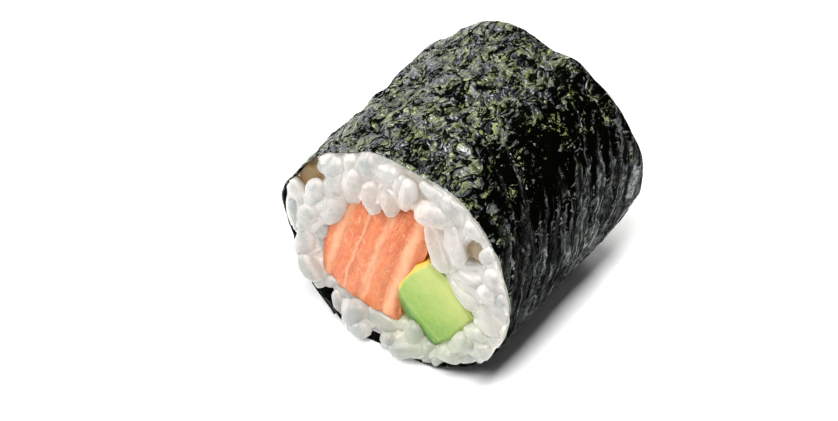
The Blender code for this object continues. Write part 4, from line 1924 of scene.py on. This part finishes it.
    def build_grains(self, finish: bpy.types.Material) -> bpy.types.Object:
        """Makes the grains of both ends, as one plain mesh.

        Args:
            finish: Their material.

        Returns:
            The finished piece.
        """
        kinds = bpy.data.collections.new("grain_kinds")
        for number in range(self.kinds):
            kinds.objects.link(self.grain_kind(number))
        grains = self.grain_points()
        tree, identifiers = self.scatter_tree()
        scatter = grains.modifiers.new("scatter", "NODES")
        scatter.node_group = tree
        values = {
            "Grain kinds": kinds,
            "Unevenness": self.unevenness,
            "Lump size": self.lump_size,
            "Seed": float(self.seed),
            "Material": finish,
        }
        for name, value in values.items():
            scatter[identifiers[name]] = value
        bake(grains, scatter)
        self.fit(grains.data)
        for kind in list(kinds.objects):
            bpy.data.objects.remove(kind)
        bpy.data.collections.remove(kinds)
        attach(grains, BODY)
        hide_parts("rice")
        return grains

    def fit(self, mesh: bpy.types.Mesh) -> None:
        """Presses a mesh against the wrap, and stores what its material reads.

        Args:
            mesh: The mesh.
        """
        self.press(mesh)
        self.tint(mesh)
        self.shade(mesh)

    def core_section(self, angle: np.ndarray, radius: np.ndarray) -> tuple[np.ndarray, np.ndarray]:
        """Points round the axis, pressed flat above the sheet.

        Args:
            angle: Degrees round the axis.
            radius: Distance from the axis in millimetres before pressing.

        Returns:
            Their X and Z in millimetres.
        """
        floor = ROLL.sheet + self.core_floor - ROLL.axis_height
        x, z = ROLL.section(angle, radius * MM, floor)
        return x / MM, z / MM

    def mean_front(self, packing: Packing, x: np.ndarray, z: np.ndarray) -> np.ndarray:
        """How far out of the cut the grains reach, evened out over their neighbourhood.

        Args:
            packing: The grains of that end.
            x: Places in the section.
            z: The same.

        Returns:
            The distance past the rim of the wrap.
        """
        fronts = [packing.front(x, z)]
        furthest = ROLL.radius / MM - self.binder_rim
        for away in self.binder_spread:
            for turn in range(6):
                around = math.radians(60.0 * turn)
                beside_x, beside_z = x + away * math.cos(around), z + away * math.sin(around)
                inward = np.minimum(1.0, furthest / np.maximum(np.hypot(beside_x, beside_z), 1.0))
                fronts.append(packing.front(beside_x * inward, beside_z * inward))
        return sum(fronts) / len(fronts)

    def binder(self, packing: Packing, x: np.ndarray, z: np.ndarray) -> np.ndarray:
        """How far out the sticky rice between the grains comes, which fills the clefts between them.

        Args:
            packing: The grains of that end.
            x: Places in the section.
            z: The same.

        Returns:
            The distance past the rim of the wrap.
        """
        mean = self.mean_front(packing, x, z)
        reach = mean - self.binder_depth - np.maximum(packing.front(x, z) - mean, 0.0)
        for gap in packing.gaps:
            reach = reach + (gap.level - reach) * gap.cover(x, z, 0.5, -0.2)
        return reach

    def shade(self, mesh: bpy.types.Mesh) -> None:
        """Stores how far each point faces out of the cut, lies in a cleft and lies in a brown gap.

        Args:
            mesh: The mesh.
        """
        points = mesh_points(mesh) / MM
        outward = read_vectors(mesh.vertex_normals, "vector")[:, 1] * np.sign(points[:, 1])
        cleft, sunk = np.zeros(len(points)), np.zeros(len(points))
        for end, packing in self.ends.items():
            here = np.sign(points[:, 1]) == end.value
            x, y, z = points[here].T
            past = np.abs(y) - ROLL.length / MM / 2.0
            cleft[here] = smoothstep(0.3, 1.5, self.mean_front(packing, x, z) - past)
            for gap in packing.gaps:
                deep = smoothstep(gap.level + 0.5, gap.level + 0.2, past)
                sunk[here] = np.maximum(sunk[here], gap.brown * deep * gap.cover(x, z, 0.6, 0.0))
        store(mesh, "front", np.clip(outward, 0.0, 1.0))
        store(mesh, "cleft", cleft)
        store(mesh, "sunk", sunk)

    def core_points(self) -> np.ndarray:
        """The core's points: loops from the shown end's middle to its rim, and on to the far end's.

        Returns:
            The points of the loops, and after them the middle of each end.
        """
        half = ROLL.length / MM / 2.0
        rings = self.core_rings
        angle = np.linspace(0.0, 360.0, self.core_sides, endpoint=False)
        edge = (ROLL.wrap_radius(angle) - ROLL.sheet) / MM
        share = np.repeat(np.arange(1, rings + 1) / rings, self.core_sides)
        loops, middles = {}, []
        for end, packing in self.ends.items():
            x, z = self.core_section(np.tile(angle, rings), np.tile(edge, rings) * share)
            face = np.stack((x, end.value * (half + self.binder(packing, x, z)), z), axis=1)
            x, z = self.core_section(angle, edge - self.core_gap)
            waist = np.stack((x, np.full_like(x, end.value * (half - self.waist_depth)), z), axis=1)
            loops[end] = np.concatenate((face, waist)).reshape(-1, self.core_sides, 3)
            middles.append((0.0, end.value * (half - self.middle_depth), 0.0))
        outer = np.concatenate((loops[End.SHOWN], loops[End.FAR][::-1]))
        return np.concatenate((outer.reshape(-1, 3), middles)) * MM

    def core_faces(self, count: int) -> list[tuple[int, ...]]:
        """The faces from loop to loop, and from the first and last loop to the middle of each end.

        Args:
            count: The number of points in the loops.

        Returns:
            The points of each face.
        """
        sides = self.core_sides
        last = count - sides
        faces: list[tuple[int, ...]] = []
        for low in range(0, last, sides):
            for step in range(sides):
                following = (step + 1) % sides
                faces.append((low + step, low + following, low + sides + following, low + sides + step))
        for step in range(sides):
            following = (step + 1) % sides
            faces.append((count, following, step))
            faces.append((count + 1, last + step, last + following))
        return faces

    def cut_out(self, core: bpy.types.Object, filling: Filling) -> None:
        """Cuts the room for a filling out of the core.

        Args:
            core: The core.
            filling: The filling.
        """
        cutter = filling.mesh("cutter", (12, 12), 1, self.cut_room, self.cut_overrun)
        cut = core.modifiers.new("cut", "BOOLEAN")
        cut.operation = "DIFFERENCE"
        cut.object = cutter
        cut.use_self = True
        bake(core, cut)
        bpy.data.objects.remove(cutter)

    def build_core(self, finish: bpy.types.Material) -> bpy.types.Object:
        """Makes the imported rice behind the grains, cut out round the fillings.

        Args:
            finish: Its material.

        Returns:
            The finished piece.
        """
        points = self.core_points()
        core = new_mesh_object("rice_core", points, self.core_faces(len(points) - len(self.ends)))
        mesh = bmesh.new()
        mesh.from_mesh(core.data)
        bmesh.ops.recalc_face_normals(mesh, faces=mesh.faces)
        mesh.to_mesh(core.data)
        mesh.free()
        for filling in FILLINGS:
            self.cut_out(core, filling)
        core.data.shade_smooth()
        core.data.set_sharp_from_angle(angle=math.radians(60))
        self.fit(core.data)
        store(core.data, "tone", np.full(len(core.data.vertices), 0.5))
        core.data.materials.clear()
        core.data.materials.append(finish)
        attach(core, BODY)
        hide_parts("rice")
        return core


# ---------------------------------------------------------------------------------------------
# The studio


@dataclass(frozen=True)
class Softbox:
    """A soft light: where it stands, its width and height, its power, and where along Y it aims."""

    name: str
    place: tuple[float, float, float]
    size: tuple[float, float]
    power: float
    aim: float = 0.0


@dataclass
class Studio:
    """A pale floor, soft light and a camera where the photographer's stood."""

    azimuth: float = 33.79
    elevation: float = 41.44
    distance: float = 320.85 * MM
    lens: float = 120.06
    aim_right: float = 5.213 * MM
    aim_up: float = 1.801 * MM
    floor_size: float = 4.0
    ambient: float = 0.06
    softboxes: tuple[Softbox, ...] = (
        Softbox("key_softbox", (0.14, -0.24, 0.60), (0.5, 0.15), 5.8, -0.24),
        Softbox("top_softbox", (-0.05, 0.0, 0.62), (0.5, 0.5), 0.3),
        Softbox("back_softbox", (-0.45, 0.42, 0.34), (0.55, 0.6), 0.9),
        Softbox("rim_softbox", (-0.40, 0.50, 0.44), (0.18, 0.4), 0.95),
        Softbox("far_softbox", (0.28, 0.50, 0.52), (0.3, 0.3), 0.12),
        Softbox("left_softbox", (-0.50, -0.38, 0.40), (0.5, 0.5), 5.7),
    )

    def build_floor(self) -> bpy.types.Object:
        """Makes the floor.

        Returns:
            The floor.
        """
        board = bmesh.new()
        bmesh.ops.create_grid(board, x_segments=1, y_segments=1, size=self.floor_size / 2.0)
        mesh = bpy.data.meshes.new("floor")
        board.to_mesh(mesh)
        board.free()
        floor = add_object("floor", mesh)
        shader = Shader("pale_floor")
        mesh.materials.append(shader.finish_plain({"Base Color": srgb(252, 252, 252), "Roughness": 0.9}))
        return floor

    def build_lights(self) -> None:
        """Makes the softboxes and the even light round them."""
        for box in self.softboxes:
            data = bpy.data.lights.new(box.name, "AREA")
            data.shape = "RECTANGLE"
            data.size, data.size_y = box.size
            data.energy = box.power
            light = add_object(box.name, data)
            light.location = box.place
            back = Vector(box.place) - Vector((0.0, box.aim, ROLL.axis_height))
            light.rotation_euler = back.to_track_quat("Z", "Y").to_euler()
        world = bpy.data.worlds.new("studio")
        world.use_nodes = True
        nodes = Nodes(world.node_tree)
        even = {"Color": (1.0, 1.0, 1.0, 1.0), "Strength": self.ambient}
        nodes.add("ShaderNodeOutputWorld", {}, {"Surface": nodes.add("ShaderNodeBackground", {}, even)})
        bpy.context.scene.world = world

    def build_camera(self) -> bpy.types.Object:
        """Makes the camera.

        Returns:
            The camera.
        """
        turn, rise = math.radians(self.azimuth), math.radians(self.elevation)
        back = Vector((math.sin(turn) * math.cos(rise), -math.cos(turn) * math.cos(rise), math.sin(rise)))
        right = Vector((math.cos(turn), math.sin(turn), 0.0))
        up = back.cross(right)
        middle = Vector((0.0, 0.0, ROLL.axis_height))
        data = bpy.data.cameras.new("camera")
        data.lens = self.lens
        data.sensor_width = 36.0
        data.clip_start = 0.01
        camera = add_object("camera", data)
        camera.location = middle - right * self.aim_right - up * self.aim_up + back * self.distance
        camera.rotation_mode = "QUATERNION"
        camera.rotation_quaternion = back.to_track_quat("Z", "Y")
        bpy.context.scene.camera = camera
        return camera

    def build(self) -> None:
        """Sets up the whole studio."""
        self.build_camera()
        self.build_floor()
        self.build_lights()
        bpy.context.scene.view_settings.view_transform = "Standard"


# ---------------------------------------------------------------------------------------------


def report(piece: bpy.types.Object) -> None:
    """Says how large a finished piece is."""
    log.info("%s: %d points, %d faces", piece.name, len(piece.data.vertices), len(piece.data.polygons))


def main() -> None:
    """Builds the studio and every piece of the roll."""
    Studio().build()
    wrap = NoriWrap()
    report(wrap.build())
    report(SALMON.build(SalmonFinish().make()))
    report(AVOCADO.build(AvocadoFinish().make()))
    rice = RiceHeap(wrap)
    report(rice.build_grains(RiceFinish().make()))
    # The core, which fills the clefts, has a paler grey and more painted glow, which lifts the shade there.
    core_finish = RiceFinish("rice_core", srgb(165, 162, 158), srgb(148, 147, 143), least_painted_glow=0.75)
    report(rice.build_core(core_finish.make()))


if __name__ == "__main__":
    logging.basicConfig(level=logging.INFO, format="%(message)s")
    main()
